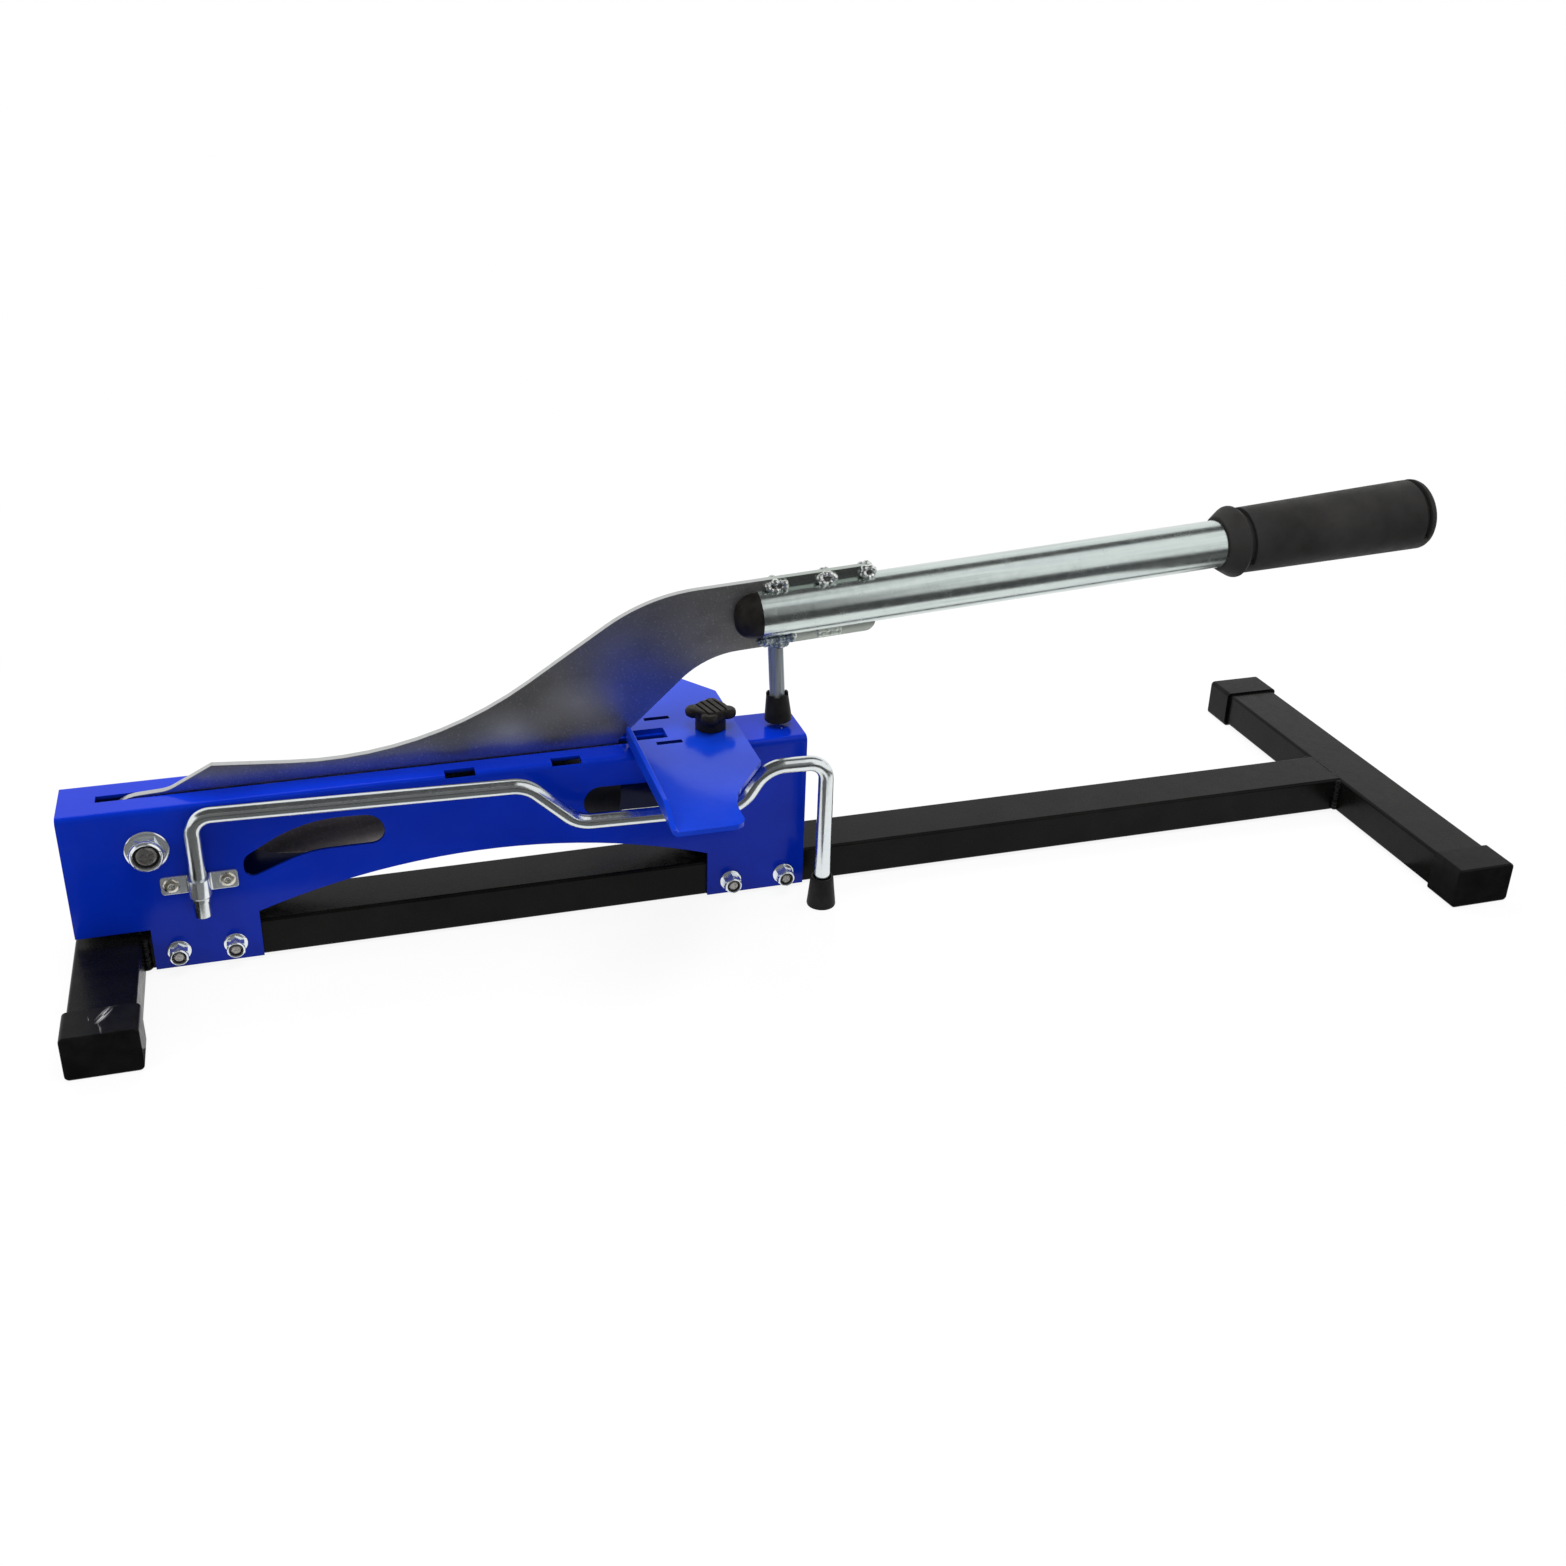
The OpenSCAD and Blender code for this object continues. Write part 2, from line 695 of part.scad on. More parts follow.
// Domed plug, cut in two halves by the blade's tail
module tube_plug() color([0.07, 0.07, 0.075])
    along_lever()
        difference() {
            rotate_extrude()
                polygon(concat(
                    [[0, plug_seat], [0, -plug_depth]],
                    [for (a = [-80:10:0]) [plug_r * cos(a), plug_depth * sin(a)]],
                    [[plug_seat_r, 0], [plug_seat_r, plug_seat]]
                ));
            tail_slot();
        }

// Weld spots where the tube's slot meets the tail: share of the tail's length, 1 above and -1 below
weld_spots = [[0.158, 1], [0.578, 1], [0.94, 1], [0.158, -1], [0.588, -1]];
spot_h = 5;
spot_out = 0.5;
spot_side = 1.5;
spot_clear = 0.02;
module lever_welds() color([0.7, 0.71, 0.72])
    along_lever()
        difference() {
            for (spot = weld_spots, side = [-1, 1]) {
                out = -spot[1] * (lever_r + spot_out);
                translate([out, side * (blade_t / 2 + spot_side), spot[0] * tail_len])
                    rotate([90, 0, 90])
                        cylinder(d = spot_d, h = spot_h, center = true);
            }
            cylinder(r = lever_r + spot_clear, h = lever_len);
            tail_slot();
        }

mouth_wall = 2.5;
groove_half = 1.9;
groove_depth = 0.9;
neck_mid = max(neck_at, collar_at + collar_w + 2 * groove_half);
end_round = min(grip_round, 0.95 * (groove_at - groove_half));
module grip() color([0.09, 0.09, 0.09])
    along_lever()
        translate([0, 0, lever_len + grip_end_wall - grip_len])
            difference() {
                rotate_extrude()
                    polygon(rounded([
                        [0, 0, 0], [lever_r + mouth_wall, 0, 1],
                        [collar_d / 2, collar_at, 2], [collar_d / 2, collar_at + collar_w, 1],
                        [grip_d / 2, neck_mid - groove_half, 0.4],
                        [grip_d / 2 - groove_depth, neck_mid, 0.8],
                        [grip_d / 2, neck_mid + groove_half, 0.8],
                        [grip_end_d / 2, grip_len - groove_at - groove_half, 0.8],
                        [grip_end_d / 2 - groove_depth, grip_len - groove_at, 0.8],
                        [grip_end_d / 2, grip_len - groove_at + groove_half, 0.8],
                        [grip_end_d / 2, grip_len, end_round], [0, grip_len, 0]
                    ], 6));
                translate([0, 0, -cut])
                    cylinder(r = lever_r + push_fit, h = grip_len - grip_end_wall + cut);
            }

// Hangs what is drawn along Z below the tail at the stop's place, Z counted down from the tube's axis
module at_stop() {
    translate([lever_x, 0, lever_z])
        rotate([0, -lever_tilt, 0])
            translate([stop_at, 0, 0])
                rotate([180, 0, 0])
                    children();
}

module stop_rod() color([0.76, 0.77, 0.75])
    at_stop()
        translate([0, 0, tail_down])
            cylinder(d = stop_d, h = bumper_top + stop_seat - tail_down);

module stop_bumper() color([0.07, 0.07, 0.07])
    at_stop()
        difference() {
            translate([0, 0, bumper_top])
                cylinder(d1 = bumper_top_d, d2 = bumper_d, h = bumper_h);
            translate([0, 0, bumper_top - cut])
                cylinder(d = stop_d + 2 * push_fit, h = stop_seat + cut);
        }

// The fence seen from above, with its stop face on X = 0
module fence_outline() {
    half = [
        [0, fence_half, wing_round / 2], [wing_w, fence_half, wing_round],
        [wing_w, fence_half - wing_len, wing_fillet], [fence_w, fence_mid, mid_round]
    ];
    other = [for (i = [3:-1:0]) [half[i].x, -half[i].y, half[i].z]];
    polygon(rounded(concat(half, other)));
}

module fence_plate() color([0.05, 0.2, 0.8])
    translate([fence_x, 0, fence_z])
        difference() {
            intersection() {
                linear_extrude(stop_edge_h)
                    fence_outline();
                upright(2 * fence_half)
                    polygon(rounded([
                        [0, 0, fence_t + 1], [2 * fence_w, 0, 0], [2 * fence_w, fence_t, 0],
                        [fence_t, fence_t, 1],
                        [fence_t, stop_edge_h, stop_edge_round], [0, stop_edge_h, stop_edge_round]
                    ]));
            }
            for (side = [0, 1]) {
                mirror([0, side, 0])
                    translate([-cut, 0, 0])
                        rotate([90, 0, 90])
                            linear_extrude(2 * fence_t + cut)
                                polygon([
                                    [fence_half - stop_edge_slope, stop_edge_h + cut],
                                    [fence_half - stop_edge_slope, stop_edge_h],
                                    [fence_half - 2, fence_t + 1], [fence_half + cut, fence_t + 1],
                                    [fence_half + cut, stop_edge_h + cut]
                                ]);
            }
            translate([-cut, -notch_half, -cut])
                cube([notch_len + cut, 2 * notch_half, stop_edge_h + 2 * cut]);
            for (slot_mid = [fence_slot_shift - fence_slot_y, fence_slot_shift + fence_slot_y]) {
                translate([notch_len - fence_slot_back, slot_mid - fence_slot_w / 2, -cut])
                    cube([fence_slot_len, fence_slot_w, fence_t + 2 * cut]);
            }
            translate([knob_at, 0, -cut])
                cylinder(d = stud_d + 2 * move_gap, h = fence_t + 2 * cut);
        }

module star_outline() {
    circle(d = core_d);
    for (i = [0:knob_lobes - 1]) {
        rotate(360 / knob_lobes * i - knob_turn)
            translate([(knob_d - lobe_d) / 2, 0])
                circle(d = lobe_d);
    }
}

module fence_knob() color([0.07, 0.07, 0.075])
    translate([knob_x, 0, knob_z])
        difference() {
            union() {
                cylinder(d = hub_d, h = hub_h + cut);
                translate([0, 0, hub_h])
                    linear_extrude(knob_star_h - star_step)
                        star_outline();
                translate([0, 0, hub_h + cut])
                    cylinder(d = crown_d, h = knob_star_h - cut);
            }
            translate([0, 0, -cut])
                cylinder(d = stud_d + 2 * push_fit, h = stud_seat + cut);
        }

module knob_stud() color([0.72, 0.73, 0.74])
    translate([knob_x, 0, stud_z0])
        cylinder(d = stud_d, h = knob_z + stud_seat - stud_z0);

module fence_weld_nut() color([0.72, 0.73, 0.74])
    translate([knob_x, 0, housing_h - sheet - thin_nut_h(stud_nut_af)])
        difference() {
            cylinder(d = hex_d(stud_nut_af), h = thin_nut_h(stud_nut_af), $fn = 6);
            translate([0, 0, -cut])
                cylinder(d = stud_d + 2 * run_fit, h = stud_nut_af);
        }

// Rod of straight runs joined by bends, drawn in the XY plane: each step is [run, turn to the left, radius].
// The runs lap over the ends of the bends, which are a hair thinner
bend_lap = 0.5;
bend_thin = 0.4;
function bend_reach(turned, r) = r * tan(abs(turned) / 2);
module rod_from(steps, i = 0) {
    side = steps[i][1] < 0 ? -1 : 1;
    from = i > 0 ? -bend_lap : 0;
    to = steps[i][0] + (i < len(steps) - 1 ? bend_lap : 0);
    translate([from, 0, 0])
        rotate([0, 90, 0])
            cylinder(d = rod_d, h = to - from);
    if (i < len(steps) - 1) {
        bend = steps[i][2];
        translate([steps[i][0], side * bend, 0]) {
            rotate([0, 0, side > 0 ? -90 : 90 + steps[i][1]])
                rotate_extrude(angle = abs(steps[i][1]))
                    translate([bend, 0])
                        circle(d = rod_d - bend_thin);
            rotate([0, 0, steps[i][1]])
                translate([0, -side * bend, 0])
                    rod_from(steps, i + 1);
        }
    }
}

// Turns what is drawn with X along the arm to the arm's folded place
module on_arm() {
    translate([arm_x, arm_y, 0])
        rotate([0, 0, -arm_rest_angle])
            children();
}

module support_arm() color([0.76, 0.77, 0.75])
    on_arm() {
        translate([0, 0, pin_z0])
            rotate([90, 0, 0])
                rotate([0, 0, 90])
                    rod_from(arm_steps);
        translate([0, 0, saddle_z - saddle_h / 2 - move_gap - crimp_h])
            cylinder(d = rod_d + 2 * crimp_out, h = crimp_h);
    }

module support_foot() color([0.07, 0.07, 0.07])
    on_arm()
        translate([arm_reach, 0, 0])
            difference() {
                cylinder(d1 = foot_d, d2 = foot_top_d, h = foot_h);
                translate([0, 0, foot_h - foot_seat])
                    cylinder(d = rod_d + 2 * push_fit, h = foot_seat + cut);
            }

module arm_saddle() color([0.77, 0.78, 0.77])
    translate([arm_x, 0, saddle_z - saddle_h / 2])
        difference() {
            linear_extrude(saddle_h)
                difference() {
                    union() {
                        translate([-saddle_len / 2, -wall_y - saddle_t])
                            square([saddle_len, saddle_t]);
                        translate([0, arm_y])
                            circle(rod_d / 2 + run_fit + saddle_t);
                        translate([-rod_d / 2 - run_fit - saddle_t, arm_y])
                            square([rod_d + 2 * (run_fit + saddle_t), -wall_y - arm_y]);
                    }
                    translate([0, arm_y])
                        circle(rod_d / 2 + run_fit);
                    translate([-rod_d / 2 - run_fit, arm_y])
                        square([rod_d + 2 * run_fit, rod_d]);
                    translate([-saddle_len, -wall_y])
                        square([2 * saddle_len, rod_d]);
                }
            for (side = [-1, 1]) {
                translate([side * rivet_pitch / 2, 0, saddle_h / 2])
                    bar_y(rivet_d + 2 * push_fit, -housing_w, 0);
            }
        }

// Blind rivets: domed head on the strap, hollow shank, upset tail inside the wall
module saddle_rivets() color([0.8, 0.78, 0.7])
    for (side = [-1, 1]) {
        translate([arm_x + side * rivet_pitch / 2, 0, saddle_z])
            difference() {
                union() {
                    translate([0, -wall_y - saddle_t, 0])
                        rotate([90, 0, 0])
                            cylinder(d1 = 2 * rivet_d, d2 = 1.3 * rivet_d, h = 0.3 * rivet_d);
                    bar_y(rivet_d, -wall_y - saddle_t - cut, -wall_y + sheet + cut);
                    bar_y(1.4 * rivet_d, -wall_y + sheet, -wall_y + sheet + 0.5 * rivet_d);
                }
                bar_y(0.45 * rivet_d, -housing_w, 0);
            }
    }

base_beam();
foot_tube(front_foot_x, front_foot_len);  // front_foot_tube
foot_tube(rear_foot_x, rear_foot_len);  // rear_foot_tube
frame_welds();
end_cap(front_foot_x, front_foot_len, -1);  // front_cap_near
end_cap(front_foot_x, front_foot_len, 1);  // front_cap_far
end_cap(rear_foot_x, rear_foot_len, -1);  // rear_cap_near
end_cap(rear_foot_x, rear_foot_len, 1);  // rear_cap_far
cutter_housing();
housing_bolts();
housing_nuts();
pivot_bolt();
pivot_nut();
pivot_spacer(-1);  // pivot_spacer_near
pivot_spacer(1);  // pivot_spacer_far
blade();
lever_tube();
tube_plug();
lever_welds();
grip();
stop_rod();
stop_bumper();
fence_plate();
fence_knob();
knob_stud();
fence_weld_nut();
support_arm();
support_foot();
arm_saddle();
saddle_rivets();
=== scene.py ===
import json
import math

import bpy
from mathutils import Matrix, Vector


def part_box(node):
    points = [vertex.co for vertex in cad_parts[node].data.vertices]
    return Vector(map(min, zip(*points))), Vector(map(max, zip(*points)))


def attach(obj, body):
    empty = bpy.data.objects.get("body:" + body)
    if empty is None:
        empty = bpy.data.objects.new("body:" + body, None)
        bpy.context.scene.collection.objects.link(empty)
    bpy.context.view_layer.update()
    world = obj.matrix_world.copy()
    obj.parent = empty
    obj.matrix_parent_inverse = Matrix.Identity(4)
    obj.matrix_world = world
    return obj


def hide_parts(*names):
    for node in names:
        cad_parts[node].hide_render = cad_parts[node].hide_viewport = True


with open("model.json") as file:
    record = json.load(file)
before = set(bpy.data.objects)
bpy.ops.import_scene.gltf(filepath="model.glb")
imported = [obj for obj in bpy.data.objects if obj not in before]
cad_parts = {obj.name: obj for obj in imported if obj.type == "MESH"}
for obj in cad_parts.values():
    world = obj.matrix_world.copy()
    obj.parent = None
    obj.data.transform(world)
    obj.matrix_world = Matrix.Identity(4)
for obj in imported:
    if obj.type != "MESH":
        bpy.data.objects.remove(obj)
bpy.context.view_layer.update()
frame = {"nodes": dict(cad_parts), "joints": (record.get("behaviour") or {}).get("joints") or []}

scene = bpy.context.scene
scene.view_settings.view_transform = "Standard"

# The camera stands in front of the pivot end, a little above the lever, and looks along the base
# towards the rear foot. Its shift puts the object in the frame where the picture has it.
bpy.ops.object.camera_add(
    location=(-0.3088, -0.9322, 0.5852),
    rotation=[math.radians(turn) for turn in (64.6083, -0.6324, -15.3798)],
)
camera = bpy.context.object
camera.data.sensor_width = 36
camera.data.lens = 38.2972
camera.data.shift_x = 0.03965
camera.data.shift_y = -0.04582
camera.data.clip_end = 200
scene.camera = camera

# The studio: a pale floor without an end in a white surround, with soft boxes above, behind and to the
# left. Dark cards in front, overhead and on the floor show only in reflections, and give the plated rods
# and the tube their dark bands.
def seen_directly(tree):
    ray = tree.nodes.new("ShaderNodeLightPath")
    seen = ray.outputs["Is Camera Ray"]
    for kind in ("Is Glossy Ray", "Is Transmission Ray"):
        either = tree.nodes.new("ShaderNodeMath")
        either.operation = "MAXIMUM"
        tree.links.new(seen, either.inputs[0])
        tree.links.new(ray.outputs[kind], either.inputs[1])
        seen = either.outputs[0]
    return seen


def mixed(tree, share, first, second):
    mix = tree.nodes.new("ShaderNodeMixShader")
    tree.links.new(share, mix.inputs["Fac"])
    tree.links.new(first.outputs[0], mix.inputs[1])
    tree.links.new(second.outputs[0], mix.inputs[2])
    return mix


world = bpy.data.worlds.new("white_surround")
scene.world = world
world.use_nodes = True
surround = world.node_tree
shown_white = surround.nodes.new("ShaderNodeBackground")
shown_white.inputs["Color"].default_value = (1, 1, 1, 1)
soft_light = surround.nodes["Background"]
soft_light.inputs["Color"].default_value = (0.44, 0.44, 0.45, 1)
sky = mixed(surround, seen_directly(surround), soft_light, shown_white)
surround.links.new(sky.outputs[0], surround.nodes["World Output"].inputs["Surface"])

floor_size, floor_level = 80, -0.0003
glow_near, glow_far, glow_least = 0.45, 0.75, 0.9
bpy.ops.mesh.primitive_plane_add(size=floor_size, location=(0, 0, floor_level))
floor = bpy.context.object
floor.name = "studio_floor"
floor_white = bpy.data.materials.new("floor_white")
floor_white.use_nodes = True
paper = floor_white.node_tree
paper.nodes.remove(paper.nodes["Principled BSDF"])
matt = paper.nodes.new("ShaderNodeBsdfDiffuse")
matt.inputs["Color"].default_value = (0.86, 0.86, 0.86, 1)
glow = paper.nodes.new("ShaderNodeEmission")
glow.inputs["Color"].default_value = (1, 1, 1, 1)
paper_place = paper.nodes.new("ShaderNodeTexCoord")
from_middle = paper.nodes.new("ShaderNodeVectorMath")
from_middle.operation = "LENGTH"
paper.links.new(paper_place.outputs["Object"], from_middle.inputs[0])
fading = paper.nodes.new("ShaderNodeMapRange")
for socket, value in (
    ("From Min", glow_near), ("From Max", glow_far), ("To Min", glow_least), ("To Max", 1.0),
):
    fading.inputs[socket].default_value = value
paper.links.new(from_middle.outputs["Value"], fading.inputs["Value"])
lit = mixed(paper, fading.outputs["Result"], matt, glow)
for_eye = mixed(paper, seen_directly(paper), matt, lit)
paper.links.new(for_eye.outputs[0], paper.nodes["Material Output"].inputs["Surface"])
floor.data.materials.append(floor_white)

for card_name, place, turn, size, level in (
    ("front_card", (-0.9, -2.6, 0.175), (90, 0, 0), (5.2, 0.35), 0.06),
    ("front_high_card", (-1.275, -2.6, 1.4), (90, 0, 0), (4.45, 2.1), 0.15),
    ("top_card", (-1.55, -1.15, 2.5), (0, 0, 0), (3.9, 2.9), 0.08),
    ("over_card", (0, 0.415, 2.52), (0, 0, 0), (7, 1.31), 0.08),
    ("floor_card", (-0.9, -1.42, 0.001), (0, 0, 0), (5.2, 2.36), 0.07),
    ("near_floor_card", (-0.46, -0.45, 0.0015), (0, 0, 0), (0.88, 0.7), 0.13),
    ("right_floor_card", (0.64, -0.3, 0.0015), (0, 0, 0), (0.52, 0.4), 0.12),
):
    bpy.ops.mesh.primitive_plane_add(size=1, location=place, rotation=[math.radians(a) for a in turn])
    card = bpy.context.object
    card.name = card_name
    card.scale = (size[0], size[1], 1)
    card_tone = bpy.data.materials.new(card_name)
    card_tone.use_nodes = True
    card_nodes = card_tone.node_tree.nodes
    card_nodes.remove(card_nodes["Principled BSDF"])
    card_glow = card_nodes.new("ShaderNodeEmission")
    card_glow.inputs["Color"].default_value = (level, level, level, 1)
    card_tone.node_tree.links.new(card_glow.outputs[0], card_nodes["Material Output"].inputs["Surface"])
    card.data.materials.append(card_tone)
    card.visible_camera = False
    card.visible_diffuse = False
    card.visible_shadow = False

for lamp_name, place, aim, size, power in (
    ("back_box", (-0.35, 1.1, 1.5), (0, 0, 0.05), (1.9, 0.9), 26),
    ("top_box", (0.25, -0.35, 1.75), (0, 0, 0.05), (1.7, 0.5), 23),
    ("left_box", (-1.7, -0.7, 0.9), (-0.1, 0, 0.08), (0.8, 0.8), 9),
):
    bpy.ops.object.light_add(type="AREA", location=place)
    lamp = bpy.context.object
    lamp.name = lamp_name
    lamp.data.shape = "RECTANGLE"
    lamp.data.size, lamp.data.size_y = size
    lamp.data.energy = power
    lamp.visible_glossy = False
    lamp.rotation_euler = (Vector(aim) - Vector(place)).to_track_quat("-Z", "Y").to_euler()

# Base tubes: a beam and two feet of welded rectangular steel tube, butted into a long H and
# powder-coated satin black after welding. The coat is a little cloudy and finely pebbled.
nodes = frame["nodes"]


def new_finish(name, metal=0.0, shine=0.5):
    finish = bpy.data.materials.new(name)
    finish.use_nodes = True
    shader = finish.node_tree.nodes["Principled BSDF"]
    shader.inputs["Metallic"].default_value = metal
    shader.inputs["Specular IOR Level"].default_value = shine
    return finish


def placed(finish, scale=(1, 1, 1), centre=(0, 0, 0), turn=(0, 0, 0)):
    where = finish.node_tree.nodes.new("ShaderNodeTexCoord").outputs["Object"]
    for socket, value in (("Location", [-c for c in centre]), ("Rotation", turn), ("Scale", scale)):
        mapping = finish.node_tree.nodes.new("ShaderNodeMapping")
        mapping.inputs[socket].default_value = value
        finish.node_tree.links.new(where, mapping.inputs["Vector"])
        where = mapping.outputs["Vector"]
    return where


def mottle(finish, scale, detail, roughness=0.55, where=None):
    noise = finish.node_tree.nodes.new("ShaderNodeTexNoise")
    noise.inputs["Scale"].default_value = scale
    noise.inputs["Detail"].default_value = detail
    noise.inputs["Roughness"].default_value = roughness
    finish.node_tree.links.new(where if where else placed(finish), noise.inputs["Vector"])
    return noise.outputs["Fac"]


def tones(finish, value, *stops):
    node = finish.node_tree.nodes.new("ShaderNodeValToRGB")
    marks = node.color_ramp.elements
    while len(marks) < len(stops):
        marks.new(0.5)
    for mark, (place, tone) in zip(marks, stops):
        mark.position = place
        mark.color = (*tone, 1) if isinstance(tone, tuple) else (tone, tone, tone, 1)
    finish.node_tree.links.new(value, node.inputs["Fac"])
    return node.outputs["Color"]


def give(finish, socket, value):
    finish.node_tree.links.new(value, finish.node_tree.nodes["Principled BSDF"].inputs[socket])


def coloured(finish, stops, scale, detail):
    give(finish, "Base Color", tones(finish, mottle(finish, scale, detail), *stops))


def dulled(finish, stops, scale, detail):
    give(finish, "Roughness", tones(finish, mottle(finish, scale, detail), *stops))


def roughened(finish, height, strength, depth):
    bump = finish.node_tree.nodes.new("ShaderNodeBump")
    bump.inputs["Strength"].default_value = strength
    bump.inputs["Distance"].default_value = depth
    finish.node_tree.links.new(height, bump.inputs["Height"])
    give(finish, "Normal", bump.outputs["Normal"])


def pebbled(finish, scale, detail, strength, depth):
    roughened(finish, mottle(finish, scale, detail), strength, depth)


def dress(node, finish):
    kept = nodes[node]
    kept.data.materials.clear()
    kept.data.materials.append(finish)


black_coat = new_finish("black_powder_coat", shine=0.09)
coloured(black_coat, (
    (0.3, (0.0018, 0.0018, 0.0016)), (0.75, (0.0052, 0.0052, 0.0047)),
), scale=38, detail=5)
dulled(black_coat, ((0.3, 0.22), (0.7, 0.34)), scale=150, detail=3)
pebbled(black_coat, scale=1100, detail=2, strength=0.12, depth=0.0004)
for tube in ("base_beam", "front_foot_tube", "rear_foot_tube"):
    dress(tube, black_coat)

# Frame welds: one run of weld up each inner corner of the two T joints and one flatter run over the
# top of each joint, drops of metal that overlap, painted over with the tubes.
mm = 0.001


def alone(piece):
    bpy.ops.object.select_all(action="DESELECT")
    piece.select_set(True)
    bpy.context.view_layer.objects.active = piece


def applied(piece):
    alone(piece)
    bpy.ops.object.transform_apply(location=True, rotation=True, scale=True)
    return piece


def shape_with(piece, kind, **settings):
    alone(piece)
    modifier = piece.modifiers.new(kind.title(), kind)
    for setting, value in settings.items():
        setattr(modifier, setting, value)
    bpy.ops.object.modifier_apply(modifier=modifier.name)


def joined(parts):
    bpy.ops.object.select_all(action="DESELECT")
    for part in parts:
        part.select_set(True)
    bpy.context.view_layer.objects.active = parts[0]
    bpy.ops.object.join()
    return bpy.context.object


def settle(piece, name, body, finish, replaced=(), sharp=35):
    applied(piece)
    bpy.ops.object.shade_smooth_by_angle(angle=math.radians(sharp))
    shape_with(piece, "WEIGHTED_NORMAL", weight=100, keep_sharp=True)
    piece.name = piece.data.name = name
    piece.data.materials.clear()
    piece.data.materials.append(finish)
    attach(piece, body)
    if replaced:
        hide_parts(*replaced)


def weld_run(drops, skin=0.35 * mm):
    beads = []
    for place, size in drops:
        bpy.ops.mesh.primitive_uv_sphere_add(segments=16, ring_count=10, radius=1, location=place)
        bead = bpy.context.object
        bead.scale = [half * mm for half in size]
        beads.append(bead)
    run = applied(joined(beads))
    shape_with(run, "REMESH", mode="VOXEL", voxel_size=skin)
    shape_with(run, "SMOOTH", factor=0.5, iterations=3)
    return run


beam_low, beam_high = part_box("base_beam")
corner_drops, corner_first, corner_pitch, corner_off = 9, 3.0, 2.4, 1.0
corner_wide, corner_tall, corner_swell = 3.2, 2.2, 0.18
top_drops, top_first, top_pitch, top_half = 17, -16.8, 2.1, 17
top_off, top_bow, top_sunk, top_skin = 0.2, 1.1, 1.0, 0.3 * mm
top_long, top_wide, top_thick, top_swell = 1.9, 1.7, 1.15, 0.12
runs = []
for joint_x, inward in ((beam_low.x, 1), (beam_high.x, -1)):
    for side in (-1, 1):
        drops = []
        for i in range(corner_drops):
            fat = 1 + corner_swell * math.sin(2.3 * i + joint_x * 40)
            drops.append((
                (
                    joint_x + inward * corner_off * mm, side * (beam_high.y + corner_off * mm),
                    beam_low.z + (corner_first + corner_pitch * i) * mm,
                ),
                (corner_wide * fat, corner_wide * fat, corner_tall),
            ))
        runs.append(weld_run(drops))
    drops = []
    for i in range(top_drops):
        across = top_first + top_pitch * i
        bowed = top_off + top_bow * math.cos(across / top_half * math.pi / 2)
        drops.append((
            (joint_x - inward * bowed * mm, across * mm, beam_high.z - top_sunk * mm),
            (top_long, top_wide, top_thick + top_swell * math.sin(3.1 * i)),
        ))
    runs.append(weld_run(drops, top_skin))
settle(joined(runs), "frame_weld_runs", "base", black_coat, ("frame_welds",), sharp=60)

# End caps: injection-moulded black sleeves pushed over the ends of the feet, with soft corners, a
# closed outer end and a thin rim where the tube goes in. The near front one is scuffed on top.
def choose(piece, kind, test):
    alone(piece)
    bpy.ops.object.mode_set(mode="EDIT")
    bpy.ops.mesh.select_mode(type={"faces": "FACE", "edges": "EDGE"}[kind])
    bpy.ops.mesh.select_all(action="DESELECT")
    bpy.ops.object.mode_set(mode="OBJECT")
    mesh = piece.data
    if kind == "faces":
        for face in mesh.polygons:
            face.select = test(face.center)
    else:
        for edge in mesh.edges:
            edge.select = test(*(mesh.vertices[i].co for i in edge.vertices))
    bpy.ops.object.mode_set(mode="EDIT")


def blended(finish, amount, first, second, kind="MIX"):
    mix = finish.node_tree.nodes.new("ShaderNodeMix")
    mix.data_type = "RGBA"
    mix.blend_type = kind
    for socket, form, value in (("Factor", "VALUE", amount), ("A", "RGBA", first), ("B", "RGBA", second)):
        target = [s for s in mix.inputs if s.name == socket and s.type == form][0]
        if isinstance(value, bpy.types.NodeSocket):
            finish.node_tree.links.new(value, target)
        else:
            target.default_value = value if form == "VALUE" else (*value, 1)
    return [s for s in mix.outputs if s.type == "RGBA"][0]


def spot(finish, centre, half, soft, turn=(0, 0, 0)):
    length = finish.node_tree.nodes.new("ShaderNodeVectorMath")
    length.operation = "LENGTH"
    where = placed(finish, [1 / h for h in half], centre, turn)
    finish.node_tree.links.new(where, length.inputs[0])
    return tones(finish, length.outputs["Value"], (soft, 1.0), (1.0, 0.0))


